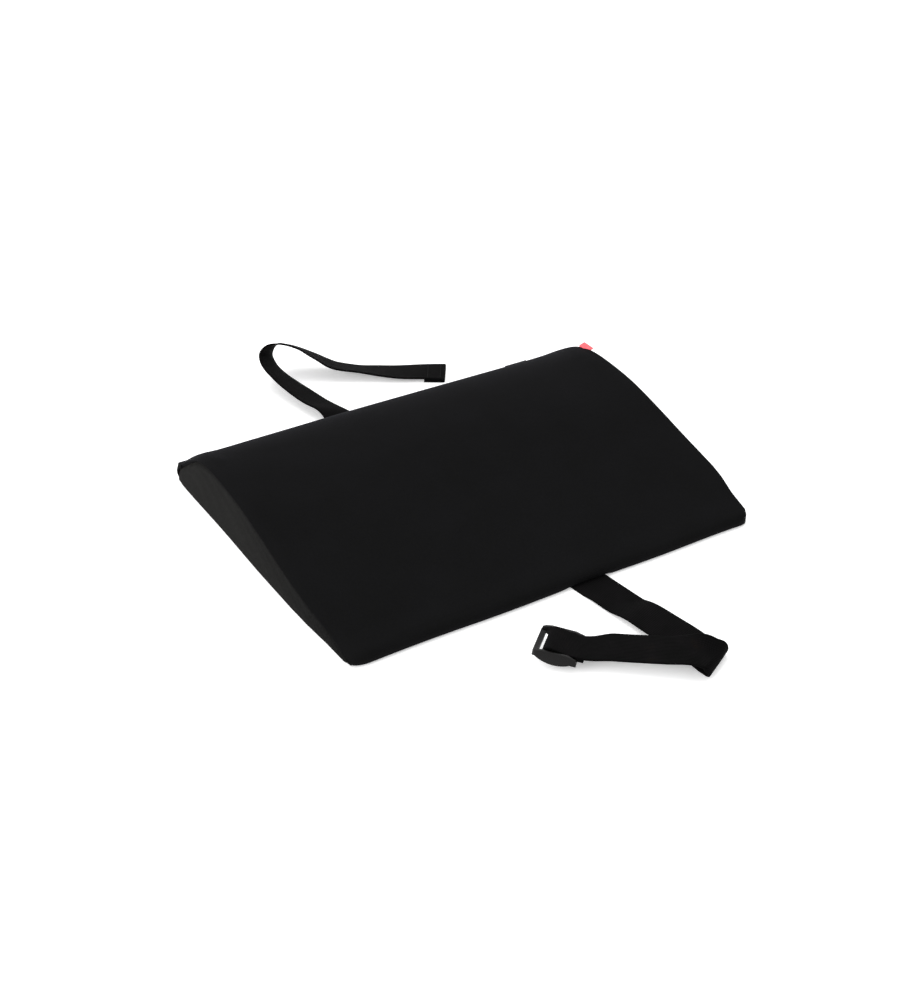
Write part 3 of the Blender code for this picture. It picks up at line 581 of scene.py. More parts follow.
# %% Roll the ends over
# Each step of a roll: mm out past the pad's end, mm in from the outline.
ROLLS = {
    -1: ((1.4, 2.5), (2.2, 2.8), (2.5, 3.1), (2.2, 3.4), (0.4, 3.6), (-4.0, 3.7)),
    1: ((1.8, 0.1), (3.3, 0.5), (4.1, 1.2), (3.8, 1.9), (1.5, 2.6), (-3.0, 2.8)),
}
LOWEST = 0.8 * MM
only(pad)
bpy.ops.object.mode_set(mode="EDIT")
for side, rolls in ROLLS.items():
    for out_mm, in_mm in rolls:
        bpy.ops.mesh.select_all(action="DESELECT")
        shape = bmesh.from_edit_mesh(pad.data)
        shape.faces.ensure_lookup_table()
        shape.normal_update()
        caps = [f for f in shape.faces if len(f.verts) == len(ring)]
        cap = max(caps, key=lambda f: side * f.calc_center_median().x)
        cap.select = True
        bmesh.update_edit_mesh(pad.data)
        bpy.ops.mesh.extrude_region_move(TRANSFORM_OT_translate={"value": (0, 0, 0)})
        shape = bmesh.from_edit_mesh(pad.data)
        cap = next(f for f in shape.faces if f.select)
        for vert in cap.verts:
            here = Vector((vert.co.y, vert.co.z))
            k = min(range(len(ring)), key=lambda i: (here - ring[i]).length)
            shift = ring_in[k] * in_mm * MM
            height = ring[k].y + shift.y
            out = out_mm if k < len(front_path) - 2 else min(out_mm, 0.6)
            vert.co = (side * (PAD_END + out * MM), ring[k].x + shift.x, max(height, LOWEST))
        bmesh.update_edit_mesh(pad.data)
bpy.ops.mesh.select_all(action="SELECT")
bpy.ops.mesh.normals_make_consistent(inside=False)
bpy.ops.object.mode_set(mode="OBJECT")
print("pad has", len(pad.data.polygons), "faces")

# %% Finish the pad
for vert in pad.data.vertices:
    round_corner(vert.co, (7.0 if vert.co.x > 0 else 3.0) * MM)
    vert.co.x -= narrowing(vert.co.x, vert.co.y)
round_off = pad.modifiers.new("smoother", "SUBSURF")
round_off.levels = 1
round_off.render_levels = 1
apply_all(pad)
smooth(pad, 60)
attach(pad, "cushion")
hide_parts("cover_top_panel", "foam_core")
print("finished", pad.name, "with", len(pad.data.polygons), "faces")

# %% [markdown]
# ## The end panels
# Each end is a flat piece of brushed fabric with the shape of the side view. Foam pushes it out a
# little in the middle, and its edge turns in to the seam. It is made as a grid that spans from the
# bottom line to the top line, then given its thickness.

# %% Build the end panels
PANEL_THICKNESS = 1.2 * MM
END_ROWS, END_COLUMNS = 14, 110


def heights_at(y):
    """Bottom and top of the side view at one distance across the cushion."""
    crossing = []
    for a, b in zip(outline, outline[1:] + outline[:1]):
        if (a.x - y) * (b.x - y) <= 0 and abs(a.x - b.x) > 1e-9:
            crossing.append(a.y + (b.y - a.y) * (y - a.x) / (b.x - a.x))
    return min(crossing), max(crossing)


def thicken(obj, thickness):
    """Gives a sheet its thickness, half of it to each side. Returns the modifier."""
    wall = obj.modifiers.new("thickness", "SOLIDIFY")
    wall.thickness = thickness
    wall.offset = 0.0
    return wall


def end_panel(name, node, side):
    """The fabric over one end; side is -1 for the left one and 1 for the right one."""
    inset = (6.0 if side < 0 else 4.8) * MM
    low_y, high_y = thin_y + 9 * MM, blunt_y - inset * 0.8
    bm = bmesh.new()
    bmesh.ops.create_grid(bm, x_segments=END_COLUMNS, y_segments=END_ROWS, size=0.5)
    for vert in bm.verts:
        t = vert.co.x + 0.5
        t = t - math.sin(2 * math.pi * t) / (2 * math.pi) * 0.6
        v = vert.co.y + 0.5
        y = low_y + (high_y - low_y) * t
        low, high = heights_at(y)
        slope = (heights_at(y + 1 * MM)[1] - heights_at(y - 1 * MM)[1]) / (2 * MM)
        low, high = low + 0.5 * MM, high - min(inset * math.hypot(1, slope), 10 * MM)
        high = max(high, low + 0.3 * MM)
        v_even = 0.5 - 0.5 * math.cos(math.pi * v)
        z = low + (high - low) * v_even
        edge = min((1 - v_even) * (high - low), (y - low_y), (high_y - y))
        rise = 3.4 * MM * (1 - math.exp(-max(edge, 0) / (0.45 * MM)))
        belly = 0.7 * MM * step_between(edge, 0, 16 * MM)
        dimple = 0.25 * MM * math.sin(y / (21 * MM) + 2) * step_between(edge, 0, 10 * MM)
        recess = 1.5 * MM * step_between(v_even, 0.2, 1.0)
        x = half_length - 4.4 * MM + rise + belly + dimple - recess
        vert.co = Vector((side * x, y, z))
        vert.co.x -= narrowing(vert.co.x, y)
    if side > 0:
        bmesh.ops.recalc_face_normals(bm, faces=bm.faces)
    panel = mesh_object(name, bm, brushed)
    thicken(panel, PANEL_THICKNESS)
    apply_all(panel)
    bpy.ops.object.mode_set(mode="EDIT")
    bpy.ops.mesh.select_all(action="SELECT")
    bpy.ops.mesh.normals_make_consistent(inside=False)
    bpy.ops.object.mode_set(mode="OBJECT")
    smooth(panel, 60)
    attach(panel, "cushion")
    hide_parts(node)
    return panel


left_end = end_panel("end_fabric_left", "end_panel_left", -1)
end_panel("end_fabric_right", "end_panel_right", 1)
print("end panels:", len(left_end.data.polygons), "faces each")

# %% [markdown]
# ## The back panel
# The back is flat, because the cushion lies on it. It starts at the thin edge's seam, runs along
# the floor and comes up to the zip. The strap lies across it in a shallow dip. The panel is a
# sheet along that path, dipped over the strap's line, then given its thickness.

# %% Build the back panel
low_edge = [p for p in outline if p.y <= zip_bottom_low.z + 1e-6 and p.x > 0.1]
low_edge.sort(key=lambda p: -p.y)
tip_edge = [Vector((thin_y + 5 * MM, 0.0)), Vector((thin_y + 3.2 * MM, 1.0 * MM))]
path = [Vector((zip_bottom_high.y - 0.4 * MM, zip_bottom_low.z - 0.3 * MM)), *low_edge, *tip_edge]
path = spaced(path, 4.0 * MM)
back_width = 2 * (half_length - 1.4 * MM)
NEAR_EDGE = 148 * MM
bm = bmesh.new()
bmesh.ops.create_grid(bm, x_segments=120, y_segments=len(path) - 1, size=0.5)
for vert in bm.verts:
    x = vert.co.x * back_width
    row = round((vert.co.y + 0.5) * (len(path) - 1))
    y, z = path[row]
    z += 0.6 * MM
    if abs(y) > NEAR_EDGE:
        y -= math.copysign(0.5 * MM, y)
    aside = abs((Vector((x, y, 0)) - strap_start).dot(strap_side))
    dip = 1 - step_between(aside, STRAP_WIDTH / 2 + 0.6 * MM, STRAP_WIDTH / 2 + 5 * MM)
    z = max(z, z * (1 - dip) + (strap_top + 0.9 * MM) * dip)
    near_end = step_between(half_length - abs(x), 3 * MM, 9 * MM)
    z += 0.5 * MM * (1 - near_end) if z < 3 * MM else 0.0
    vert.co = Vector((x - narrowing(x, y), y, z))
bmesh.ops.recalc_face_normals(bm, faces=bm.faces)
back = mesh_object("back_fabric", bm, brushed)
thicken(back, PANEL_THICKNESS)
apply_all(back)
smooth(back, 60)
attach(back, "cushion")
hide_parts("cover_back_panel")

# %% [markdown]
# ## The strap's shape
# Webbing is flat and bends only one way, so it is described by two numbers: how far along it, and
# how far across. One function gives the place in space for each pair. The end with the adjuster
# runs out from under the thin edge, folds over on a slant, comes back and loops round the
# adjuster's bar.

# %% Read a smooth curve through points


def through(points, where):
    """A smooth curve through (position, values) points, read at one position."""
    spots = [p[0] for p in points]
    values = [np.atleast_1d(np.array(p[1], float)) for p in points]
    where = min(max(where, spots[0]), spots[-1])
    i = min(max(int(np.searchsorted(spots, where)) - 1, 0), len(spots) - 2)

    def slope(k):
        low, high = max(k - 1, 0), min(k + 1, len(spots) - 1)
        return (values[high] - values[low]) / (spots[high] - spots[low])

    span = spots[i + 1] - spots[i]
    t = (where - spots[i]) / span
    start = values[i] * (2 * t**3 - 3 * t**2 + 1) + slope(i) * span * (t**3 - 2 * t**2 + t)
    end = values[i + 1] * (3 * t**2 - 2 * t**3) + slope(i + 1) * span * (t**3 - t**2)
    return start + end


THICK = 1.6
LIES_AT = THICK / 2
print("webbing is", STRAP_WIDTH * 1000, "by", THICK, "mm")

# %% The adjuster's bar and the loop round it


def joint(name):
    """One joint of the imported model."""
    return next(j for j in frame["record"]["behaviour"]["joints"] if j["name"] == name)


hinge = joint("adjuster_swing")
bar_middle = Vector(hinge["pos_m"]) * 1000
bar_along = Vector(hinge["axis"]).normalized()
PITCH, HEADING = math.radians(6.7), math.radians(-46.7)
level_out = Vector((math.cos(HEADING) * math.cos(PITCH), math.sin(HEADING) * math.cos(PITCH)))
bar_out = Vector((*level_out, -math.sin(PITCH)))
bar_out = (bar_out - bar_along * bar_out.dot(bar_along)).normalized()
bar_up = bar_out.cross(bar_along).normalized()

BAR_HALF, LOOP_SLACK = 2.0, 0.6
LOOP_RADIUS = BAR_HALF + LOOP_SLACK + THICK / 2
LOOP_LIFT = 1.3
LOOP_TAIL = 25
LOOP_ARC = math.pi * LOOP_RADIUS


def loop_point(beyond, across):
    """On the loop round the bar: beyond is the length past the top of the bar, in mm."""
    if beyond <= 0:
        reach = -beyond
        z = LOOP_RADIUS + (LOOP_LIFT - LOOP_RADIUS) * step_between(reach, 0, 14)
        x = reach
    elif beyond < LOOP_ARC:
        angle = beyond / LOOP_RADIUS
        x, z = -(LOOP_RADIUS + 1.2) * math.sin(angle), LOOP_RADIUS * math.cos(angle)
    else:
        x = beyond - LOOP_ARC
        low = LOOP_LIFT - THICK - 0.35
        z = -LOOP_RADIUS + (low + LOOP_RADIUS) * step_between(x, 1, 12)
    return bar_middle + bar_out * x + bar_along * across + bar_up * z


print("bar at", [round(v, 1) for v in bar_middle])

# %% The run from the thin edge to the loop
RUN_TURN = math.radians(7.6)
run_out = Vector((math.sin(RUN_TURN), -math.cos(RUN_TURN), 0))
run_side = Vector((math.cos(RUN_TURN), math.sin(RUN_TURN), 0))
run_start = Vector((22.3, thin_y * 1000, 0))
FOLD_AT, FOLD_TURN, FOLD_RADIUS = 132.4, math.radians(42), 2.9
fold_across = math.atan2(run_out.y, run_out.x) + FOLD_TURN / 2
fold_normal = Vector((math.cos(fold_across), math.sin(fold_across), 0))
back_heading = math.atan2(run_out.y, run_out.x) + math.pi + FOLD_TURN
back_way = Vector((math.cos(back_heading), math.sin(back_heading), 0))
fold_middle = run_start + run_out * FOLD_AT
fold_arc = math.pi * FOLD_RADIUS
loop_at = (bar_middle - fold_middle).to_2d().dot(back_way.to_2d())
out_heights = (
    (-170, 0.8), (-6, 0.8), (6, 0.8), (20, 0.9), (38, 0.9),
    (55, 4.4), (75, 5.1), (105, 5.8), (131, 3.0),
)
back_heights = ((0, 0.0), (15, 5.0), (35, 3.8), (60, 2.4), (75, 1.8), (90, 1.4), (103, 0.8))


def buckle_run(along, across):
    """Middle of the webbing, in mm, from the middle of the back to the end of the loop."""
    flat = run_start + run_out * along + run_side * across
    past = (flat - fold_middle).dot(fold_normal)
    if past <= 0:
        tilt = across * 0.07 * step_between(along, 8, 22) * min(max((70 - along) / 30, 0), 1)
        height = float(through(out_heights, along)[0]) - tilt
        return flat + Vector((0, 0, max(height, LIES_AT)))
    base = out_heights[-1][1]
    hump = 7.0 * min(max(across / 16, 0), 1) ** 2
    hump *= math.exp(-(((past - fold_arc - 8) / 14) ** 2)) * step_between(past, 0, fold_arc)
    if past < fold_arc:
        angle = past / FOLD_RADIUS
        folded = flat + fold_normal * (FOLD_RADIUS * math.sin(angle) - past)
        return folded + Vector((0, 0, base + FOLD_RADIUS * (1 - math.cos(angle)) + hump))
    folded = flat - fold_normal * (2 * past - fold_arc)
    behind = (folded - fold_middle).dot(back_way)
    lift = float(through(back_heights, max(behind, 0.0))[0])
    run = folded + Vector((0, 0, base + 2 * FOLD_RADIUS + lift + hump))
    mix = step_between(behind, loop_at - 44, loop_at - 15)
    if mix == 0:
        return run
    return run.lerp(loop_point(behind - loop_at, across), mix)


print("the loop starts", round(loop_at, 1), "mm back from the fold")

# %% The plain end's route
# Points along the middle of the webbing in mm, each with the direction across the webbing there.
plain_nodes = (
    ((-21.4, 153, 0.8), (0.99, 0.139, 0.0)), ((-22.3, 159, 0.9), (0.985, 0.16, -0.02)),
    ((-24.0, 167, 2.6), (0.96, 0.21, -0.14)), ((-27, 179, 6), (0.92, 0.23, -0.32)),
    ((-32, 198, 6.4), (0.91, 0.22, -0.34)), ((-36, 218, 7.2), (0.9, 0.22, -0.37)),
    ((-40, 238, 9), (0.88, 0.23, -0.42)), ((-42, 247, 11), (0.85, 0.24, -0.46)),
    ((-44, 257, 13.4), (0.82, 0.26, -0.51)), ((-45, 267, 16.6), (0.76, 0.28, -0.59)),
    ((-44, 275, 21), (0.64, 0.37, -0.69)), ((-40, 279, 26.6), (0.42, 0.63, -0.68)),
    ((-32, 278, 30.6), (0.33, 0.83, -0.47)), ((-24, 273, 29.6), (0.35, 0.83, -0.43)),
    ((-15, 268, 26), (0.37, 0.84, -0.39)), ((-8, 263, 21.9), (0.41, 0.85, -0.34)),
    ((0, 258, 16.9), (0.44, 0.85, -0.3)), ((6.5, 252.5, 12.6), (0.46, 0.84, -0.27)),
    ((14, 247, 9.2), (0.46, 0.84, -0.28)), ((31, 236, 6), (0.47, 0.83, -0.28)),
    ((48, 226, 4.2), (0.5, 0.84, -0.18)), ((65, 215, 3.4), (0.52, 0.85, -0.12)),
    ((83, 205, 2.9), (0.53, 0.85, -0.08)), ((100, 194, 2.9), (0.53, 0.85, -0.01)),
)
plain_route = []
length_so_far = 0.0
for k, (place, across_way) in enumerate(plain_nodes):
    if k:
        length_so_far += (Vector(place) - Vector(plain_nodes[k - 1][0])).length
    plain_route.append((length_so_far, (*place, *Vector(across_way).normalized())))
plain_length = length_so_far
HEM_RADIUS, HEM_LENGTH = (THICK + 0.3) / 2, 18.0


def plain_run(along, across):
    """Middle of the plain end's webbing, in mm. Negative lengths lie under the cushion."""
    if along <= 0:
        first = Vector(plain_route[0][1][:3])
        return first + run_out * -along + run_side * across
    read = through(plain_route, min(along, plain_length))
    centre, sideways = Vector(read[:3]), Vector(read[3:]).normalized()
    if along <= plain_length:
        wave = 0.35 * math.sin(along / 11.0 + across / 25) * step_between(along, 20, 40)
        place = centre + sideways * across
        return Vector((place.x, place.y, max(place.z + wave, LIES_AT)))
    ahead = (Vector(plain_route[-1][1][:3]) - Vector(plain_route[-2][1][:3])).normalized()
    sideways = (sideways - ahead * sideways.dot(ahead)).normalized()
    down = ahead.cross(sideways)
    down = down if down.z < 0 else -down
    past = along - plain_length
    arc = math.pi * HEM_RADIUS
    if past < arc:
        angle = past / HEM_RADIUS
        folded = ahead * math.sin(angle) + down * (1 - math.cos(angle))
        return centre + sideways * across + folded * HEM_RADIUS
    return centre + sideways * across + down * 2 * HEM_RADIUS - ahead * (past - arc)


print("plain end is", round(plain_length), "mm long")

# %% [markdown]
# ## Making webbing from its function
# A flat grid is laid along the function, one row for each station, and its UV map is written in
# millimetres at the same time. It is thickened to both sides, and a narrow bevel rounds its edges
# the way a woven edge is round.

# %% Build the two strap ends
LANES = 12


def bevel_edges(obj, width, segments, angle):
    """Rounds the edges that are sharper than angle."""
    edge = obj.modifiers.new("edge", "BEVEL")
    edge.width = width
    edge.segments = segments
    edge.limit_method = "ANGLE"
    edge.angle_limit = math.radians(angle)


def webbing_piece(name, stations, place_of):
    """Webbing through the stations, which are lengths along it in mm."""
    rows = len(stations)
    bm = bmesh.new()
    bmesh.ops.create_grid(bm, x_segments=LANES, y_segments=rows - 1, size=0.5)
    layer = bm.loops.layers.uv.new("webbing_mm")
    spots = {}
    for vert in bm.verts:
        across = vert.co.x * STRAP_WIDTH * 1000
        along = stations[round((vert.co.y + 0.5) * (rows - 1))]
        spots[vert] = (across, along)
    for face in bm.faces:
        for corner in face.loops:
            corner[layer].uv = spots[corner.vert]
    for vert, (across, along) in spots.items():
        vert.co = place_of(along, across) * MM
    made = mesh_object(name, bm, webbing)
    thicken(made, THICK * MM).use_even_offset = False
    bevel_edges(made, 0.45 * MM, 2, 60)
    apply_all(made)
    smooth(made, 50)
    return made


middle_of_back = -(blunt_y - thin_y) * 1000 / math.cos(SLANT) / 2
loop_top = FOLD_AT + fold_arc + loop_at
stretches = (
    np.linspace(middle_of_back, -12, 12),
    np.linspace(-6, FOLD_AT - 24, 60),
    np.linspace(FOLD_AT - 22, FOLD_AT + 36, 96),
    np.linspace(FOLD_AT + 39, loop_top - 14, 32),
    np.linspace(loop_top - 12, loop_top, 10),
    loop_top + np.linspace(0, LOOP_ARC, 19)[1:],
    loop_top + LOOP_ARC + np.linspace(0, LOOP_TAIL, 14)[1:],
)
buckle_end = webbing_piece("strap_buckle_end", list(np.concatenate(stretches)), buckle_run)

under = -middle_of_back
hem_arc = math.pi * HEM_RADIUS
stretches = (
    np.linspace(-under + 3.2, -4, 12),
    np.linspace(0, plain_length, 170),
    plain_length + np.linspace(0, hem_arc, 9)[1:],
    plain_length + hem_arc + np.linspace(0, HEM_LENGTH, 10)[1:],
)
plain_end = webbing_piece("strap_plain_end", list(np.concatenate(stretches)), plain_run)
print("strap ends:", len(buckle_end.data.polygons), "and", len(plain_end.data.polygons), "faces")

# %% [markdown]
# ## Stitching
# Each seam that holds the webbing is a rectangle of small stitches. One stitch is a short length
# of thread with softened ends. It is modelled once and copied round the rectangle, each copy
# placed on the webbing and turned along its line.

# %% Model one stitch and copy it
STITCH_PITCH, STITCH_LENGTH, THREAD_RADIUS = 3.0, 2.3 * MM, 0.32 * MM
LOOK_AHEAD = 0.5


def bevel_all(width, segments):
    """Bevels every edge of the active object."""
    bpy.ops.object.mode_set(mode="EDIT")
    bpy.ops.mesh.select_all(action="SELECT")
    bpy.ops.mesh.bevel(offset=width, segments=segments)
    bpy.ops.object.mode_set(mode="OBJECT")


def one_stitch():
    """The mesh of one stitch along X, with softened ends."""
    bpy.ops.object.select_all(action="DESELECT")
    bpy.ops.mesh.primitive_cylinder_add(
        vertices=6, radius=THREAD_RADIUS, depth=STITCH_LENGTH, rotation=(0, math.pi / 2, 0)
    )
    one = bpy.context.object
    bpy.ops.object.transform_apply(location=True, rotation=True, scale=True)
    bevel_all(THREAD_RADIUS / 2, 1)
    template = bmesh.new()
    template.from_mesh(one.data)
    bpy.data.objects.remove(one)
    return template


def stitch_frame(name, middle_along, length, width, place_of, lift_mm):
    """A rectangle of stitches round middle_along, on the side of the webbing that lift_mm says."""
    a, b, c = middle_along - length / 2, middle_along + length / 2, width / 2
    line = [(a, -c), (b, -c), (b, c), (a, c), (a, -c)]
    template = one_stitch()
    bm = bmesh.new()
    for (a0, c0), (a1, c1) in zip(line, line[1:]):
        span = math.hypot(a1 - a0, c1 - c0)
        step_a, step_c = (a1 - a0) / span * LOOK_AHEAD, (c1 - c0) / span * LOOK_AHEAD
        count = max(1, round(span / STITCH_PITCH))
        for k in range(count):
            t = (k + 0.5) / count
            along, across = a0 + (a1 - a0) * t, c0 + (c1 - c0) * t
            here = place_of(along, across)
            ahead = place_of(along + step_a, across + step_c) - here
            one_way = place_of(along + LOOK_AHEAD, across) - here
            other = place_of(along, across + LOOK_AHEAD) - here
            normal = one_way.cross(other).normalized() * (1 if lift_mm > 0 else -1)
            x_axis = ahead.normalized()
            z_axis = (normal - x_axis * normal.dot(x_axis)).normalized()
            turn = Matrix((x_axis, z_axis.cross(x_axis), z_axis)).transposed().to_4x4()
            added = template.copy()
            added.transform(Matrix.Translation((here + normal * abs(lift_mm)) * MM) @ turn)
            piece = bpy.data.meshes.new("stitch")
            added.to_mesh(piece)
            added.free()
            bm.from_mesh(piece)
            bpy.data.meshes.remove(piece)
    template.free()
    made = mesh_object(name, bm, thread)
    smooth(made, 60)
    return made


print("stitches are", STITCH_PITCH, "mm apart")

# %% Stitch the strap
loop_seam = stitch_frame("loop_stitching", loop_top - 19.5, 6.5, 27, buckle_run, 0.95)
hem_seam = stitch_frame("hem_stitching", plain_length - 9, 12, 28, plain_run, 0.95)
box_seam = stitch_frame("box_stitching", middle_of_back, 26, 26, buckle_run, -0.62)
for made, body, node in (
    (box_seam, "cushion", "thread_box_stitch"),
    (loop_seam, "buckle_strap", "thread_loop_stitch"),
    (hem_seam, "plain_strap", "thread_hem_stitch"),
):
    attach(made, body)
    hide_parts(node)
    print(made.name, "has", len(made.data.polygons), "faces")

# %% Bake the strap ends' transforms and hide the imported runs
BEND_MM = 3.5
reach = strap_out * BEND_MM * MM
hinge = Vector(joint("buckle_strap_swing")["pos_m"])
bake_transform(buckle_end)
hinge = Vector(joint("plain_strap_swing")["pos_m"])
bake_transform(plain_end)
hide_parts("strap_buckle_run", "strap_back_run")
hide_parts("strap_plain_run")

# %% [markdown]
# ## The adjuster
# The adjuster is one moulding, so every edge has a small radius from the mould and the outer
# corners have a larger one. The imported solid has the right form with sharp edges. A copy of it is
# cleaned of its extra edges, its corners are rounded first, and then every edge that is left gets
# a fine bevel.

# %% Round the adjuster's edges
BLOCK, ADJUSTER_WIDTH = 60, 38.5
# From the middle bar to the outer side of the adjuster, in mm.
OUTER_SIDE = 12.02
CORNER_RADIUS = 3.4 * MM


def plan_block():
    """A block with rounded outer corners, which cuts the adjuster's corners to shape."""
    bpy.ops.object.select_all(action="DESELECT")
    bpy.ops.mesh.primitive_cube_add(size=1)
    block = bpy.context.object
    block.scale = (BLOCK * MM, ADJUSTER_WIDTH * MM, BLOCK * MM)
    bpy.ops.object.transform_apply(location=False, rotation=False, scale=True)
    bpy.ops.object.mode_set(mode="EDIT")
    bpy.ops.mesh.select_mode(type="EDGE")
    bpy.ops.mesh.select_all(action="DESELECT")
    shape = bmesh.from_edit_mesh(block.data)
    for line in shape.edges:
        a, b = (v.co for v in line.verts)
        if abs(a.z - b.z) > BLOCK / 2 * MM and a.x < 0:
            line.select_set(True)
    bmesh.update_edit_mesh(block.data)
    bpy.ops.mesh.bevel(offset=CORNER_RADIUS, segments=6, affect="EDGES")
    bpy.ops.object.mode_set(mode="OBJECT")
    turn = Matrix((bar_out, bar_along, bar_up)).transposed().to_4x4()
    centre = (bar_middle + bar_out * (BLOCK / 2 - OUTER_SIDE)) * MM
    block.data.transform(Matrix.Translation(centre) @ turn)
    return block


def rounded_copy(node, name, width_mm, material, corners=None):
    """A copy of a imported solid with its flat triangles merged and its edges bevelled."""
    made = frame["nodes"][node].copy()
    made.data = frame["nodes"][node].data.copy()
    made.parent = None
    for key in list(made.keys()):
        if key.startswith("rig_"):
            del made[key]
    made.name = name
    bpy.context.scene.collection.objects.link(made)
    made.hide_render = False
    made.matrix_world = Matrix.Identity(4)
    made.data.materials.clear()
    made.data.materials.append(material)
    only(made)
    bpy.ops.object.mode_set(mode="EDIT")
    bpy.ops.mesh.select_all(action="SELECT")
    bpy.ops.mesh.remove_doubles(threshold=0.00001)
    bpy.ops.mesh.dissolve_limited(angle_limit=math.radians(3))
    bpy.ops.mesh.normals_make_consistent(inside=False)
    bpy.ops.object.mode_set(mode="OBJECT")
    if corners:
        cut = made.modifiers.new("corners", "BOOLEAN")
        cut.operation = "INTERSECT"
        cut.object = corners
        apply_all(made)
        bpy.data.objects.remove(corners)
    bevel_edges(made, width_mm * MM, 3, 32)
    apply_all(made)
    smooth(made, 35)
    return made


adjuster = rounded_copy("strap_adjuster", "adjuster_moulding", 0.6, acetal, plan_block())
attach(adjuster, "adjuster")
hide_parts("strap_adjuster")
print("adjuster has", len(adjuster.data.polygons), "faces")

# %% [markdown]
# ## The zip
# The zip lies along the blunt edge, where it doesn't show from the front. A nylon coil is a row of
# loops sewn to each tape, and the loops of the two sides lie between each other. One loop is
# modelled as a small rounded bar and repeated along the zip at the real pitch.

# %% Zip coils
COIL_PITCH = 1.7 * MM
zip_normal = Vector((0, 0.87462, 0.48481))
zip_down = Vector((0, 0.48481, -0.87462))


def coil(name, node, towards):
    """One side's row of loops; towards is 1 when they reach down to the other side."""
    low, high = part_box(node)
    centre = (low + high) / 2
    bpy.ops.object.select_all(action="DESELECT")
    bpy.ops.mesh.primitive_cube_add(size=1)
    made = bpy.context.object
    made.name = name
    made.scale = (0.75 * MM, 2.3 * MM, 1.3 * MM)
    bpy.ops.object.transform_apply(location=False, rotation=False, scale=True)
    bevel_all(0.3 * MM, 2)
    turn = Matrix((Vector((1, 0, 0)), zip_down, zip_normal)).transposed().to_4x4()
    start = low.x + COIL_PITCH * (0.5 if towards > 0 else 1.0) - 0.2 * MM
    offset = Vector((start, centre.y, centre.z))
    made.data.transform(Matrix.Translation(offset + zip_down * 0.35 * MM * towards) @ turn)
    made.data.materials.append(nylon)
    row = made.modifiers.new("row", "ARRAY")
    row.count = int((high.x - low.x) / COIL_PITCH) - 1
    row.use_relative_offset = False
    row.use_constant_offset = True
    row.constant_offset_displace = (COIL_PITCH, 0, 0)
    apply_all(made)
    smooth(made, 50)
    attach(made, "cushion")
    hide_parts(node)
    return made


upper_coil = coil("coil_upper", "zip_coil_upper", 1)
lower_coil = coil("coil_lower", "zip_coil_lower", -1)
print("coils:", len(upper_coil.data.polygons), "and", len(lower_coil.data.polygons), "faces")

# %% Slider, puller, stops and tapes
for node, name, body, edge_mm in (
    ("zip_slider", "slider_body", "slider", 0.22),
    ("zip_puller", "slider_puller", "puller", 0.15),
):
    made = rounded_copy(node, name, edge_mm, enamel)
    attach(made, body)
    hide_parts(node)
kept = {"zip_top_stop": enamel, "zip_bottom_stop": enamel}
kept.update({"zip_tape_upper": tape, "zip_tape_lower": tape})
for node, material in kept.items():
    for place in frame["nodes"][node].material_slots:
        place.link = "OBJECT"
        place.material = material
print("zip dressed")

# %% [markdown]
# ## The side tag
# The tag is a short piece of coral tape, folded and caught in the right-hand seam. Only a sliver
# of it stands above the crest. It is a strip bent round its fold, so it gets a real loop and two
# layers.

# %% Build the tag
tag_low, tag_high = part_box("side_tag")
TAG_REACH, TAG_GAP = 6.2 * MM, 0.55 * MM
tag_bm = bmesh.new()
bmesh.ops.create_grid(tag_bm, x_segments=16, y_segments=8, size=0.5)
tag_width = (tag_high.y - tag_low.y) * 0.75
tag_y = tag_high.y - tag_width / 2
tag_root = Vector((half_length - 1.4 * MM, tag_y, tag_low.z + 0.9 * MM))
tag_way = Vector((0.94, 0, 0.34)).normalized()
tag_normal = Vector((-tag_way.z, 0, tag_way.x))
for vert in tag_bm.verts:
    layer = vert.co.x * 2
    reach = TAG_REACH * (1 - abs(layer) ** 2.6)
    gap = TAG_GAP * math.copysign(abs(layer) ** 0.5, layer)
    base = tag_root + tag_way * reach + tag_normal * gap
    y = vert.co.y * tag_width
    base.z -= 0.25 * (y / tag_width) ** 2 * MM
    vert.co = base + Vector((0, y, 0))
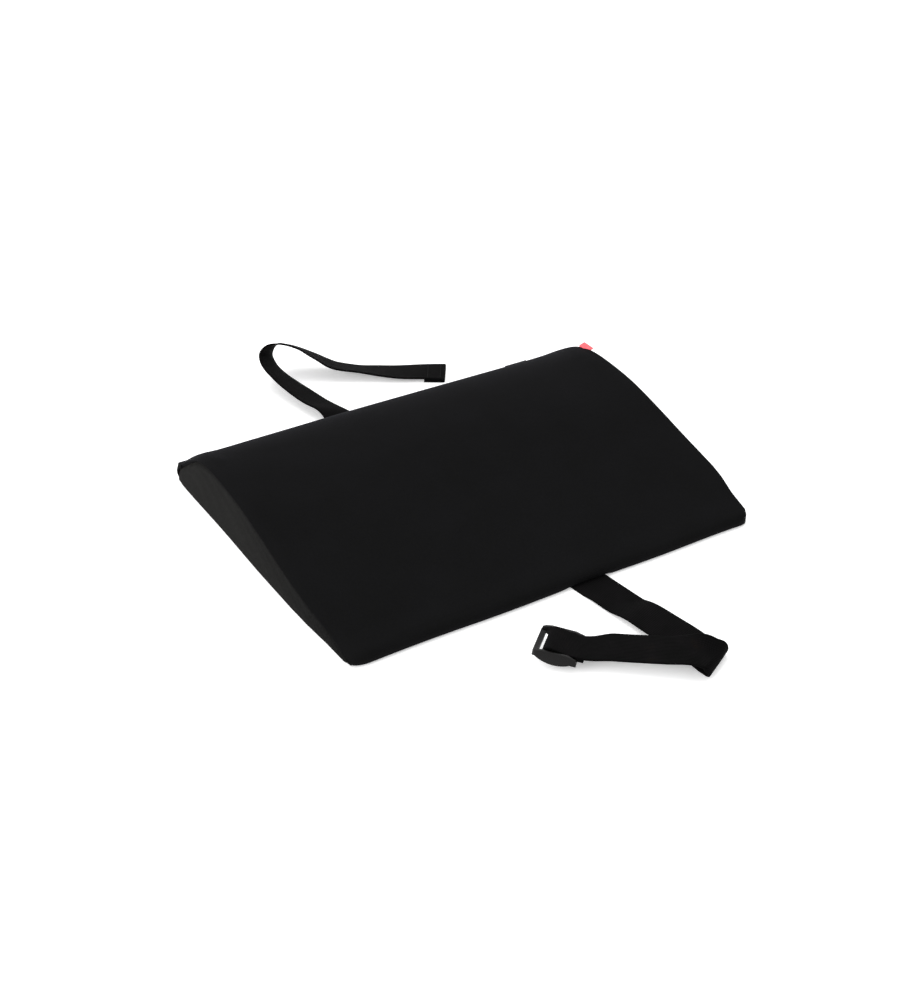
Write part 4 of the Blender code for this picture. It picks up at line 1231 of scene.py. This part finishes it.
bmesh.ops.recalc_face_normals(tag_bm, faces=tag_bm.faces)
tag = mesh_object("coral_tag", tag_bm, coral)
thicken(tag, 0.35 * MM)
apply_all(tag)
smooth(tag, 60)
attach(tag, "cushion")
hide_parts("side_tag")
print("tag stands", round(max(v.co.z for v in tag.data.vertices) * 1000, 1), "mm high")

# %% [markdown]
# ## Floor and light
# A black product needs light from all round, or its form is lost. A white floor runs far behind
# the object under a white sky, and two large soft lamps from above and from the left shape the
# panels.

# %% Floor, sky and lamps
bpy.ops.object.select_all(action="DESELECT")
bpy.ops.mesh.primitive_plane_add(size=14, location=(0, 0, 0))
floor = bpy.context.object
floor.name = "floor"
# The backdrop glows a little, like a light table, so that shadows stay faint.
WHITE = (1, 1, 1, 1)
paper = new_material(
    "white backdrop paper", "#f7f7f7", 0.9, Emission_Strength=0.3, Emission_Color=WHITE
)[0]
floor.data.materials.append(paper)
floor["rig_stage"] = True

sky = bpy.data.worlds.new("white studio")
bpy.context.scene.world = sky
sky.use_nodes = True
light_of_sky = sky.node_tree.nodes["Background"]
light_of_sky.inputs["Color"].default_value = WHITE
light_of_sky.inputs["Strength"].default_value = 1.0


def lamp(name, place, size, power):
    """A square soft lamp that faces the cushion."""
    made = bpy.data.objects.new(name, bpy.data.lights.new(name, "AREA"))
    made.data.shape = "SQUARE"
    made.data.size = size
    made.data.energy = power
    made.location = place
    made.rotation_mode = "QUATERNION"
    made.rotation_quaternion = (-Vector(place)).to_track_quat("-Z", "Y")
    bpy.context.scene.collection.objects.link(made)


lamp("overhead", (0.1, 0.5, 1.8), 1.6, 14)
lamp("left", (-1.8, -0.2, 0.7), 1.2, 24)
bpy.context.scene.view_settings.view_transform = "Standard"
bpy.context.scene.view_settings.look = "None"
print("stage set")

# %% [markdown]
# ## Finish
# The last cell writes how far the dressed model's box lies from the imported model's box, at its low
# and its high corner.

low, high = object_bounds()
for name, a, b in (("low", cad_low, low), ("high", cad_high, high)):
    print(name, "moved by", [round((q - p) * 1000, 1) for p, q in zip(a, b)], "mm")
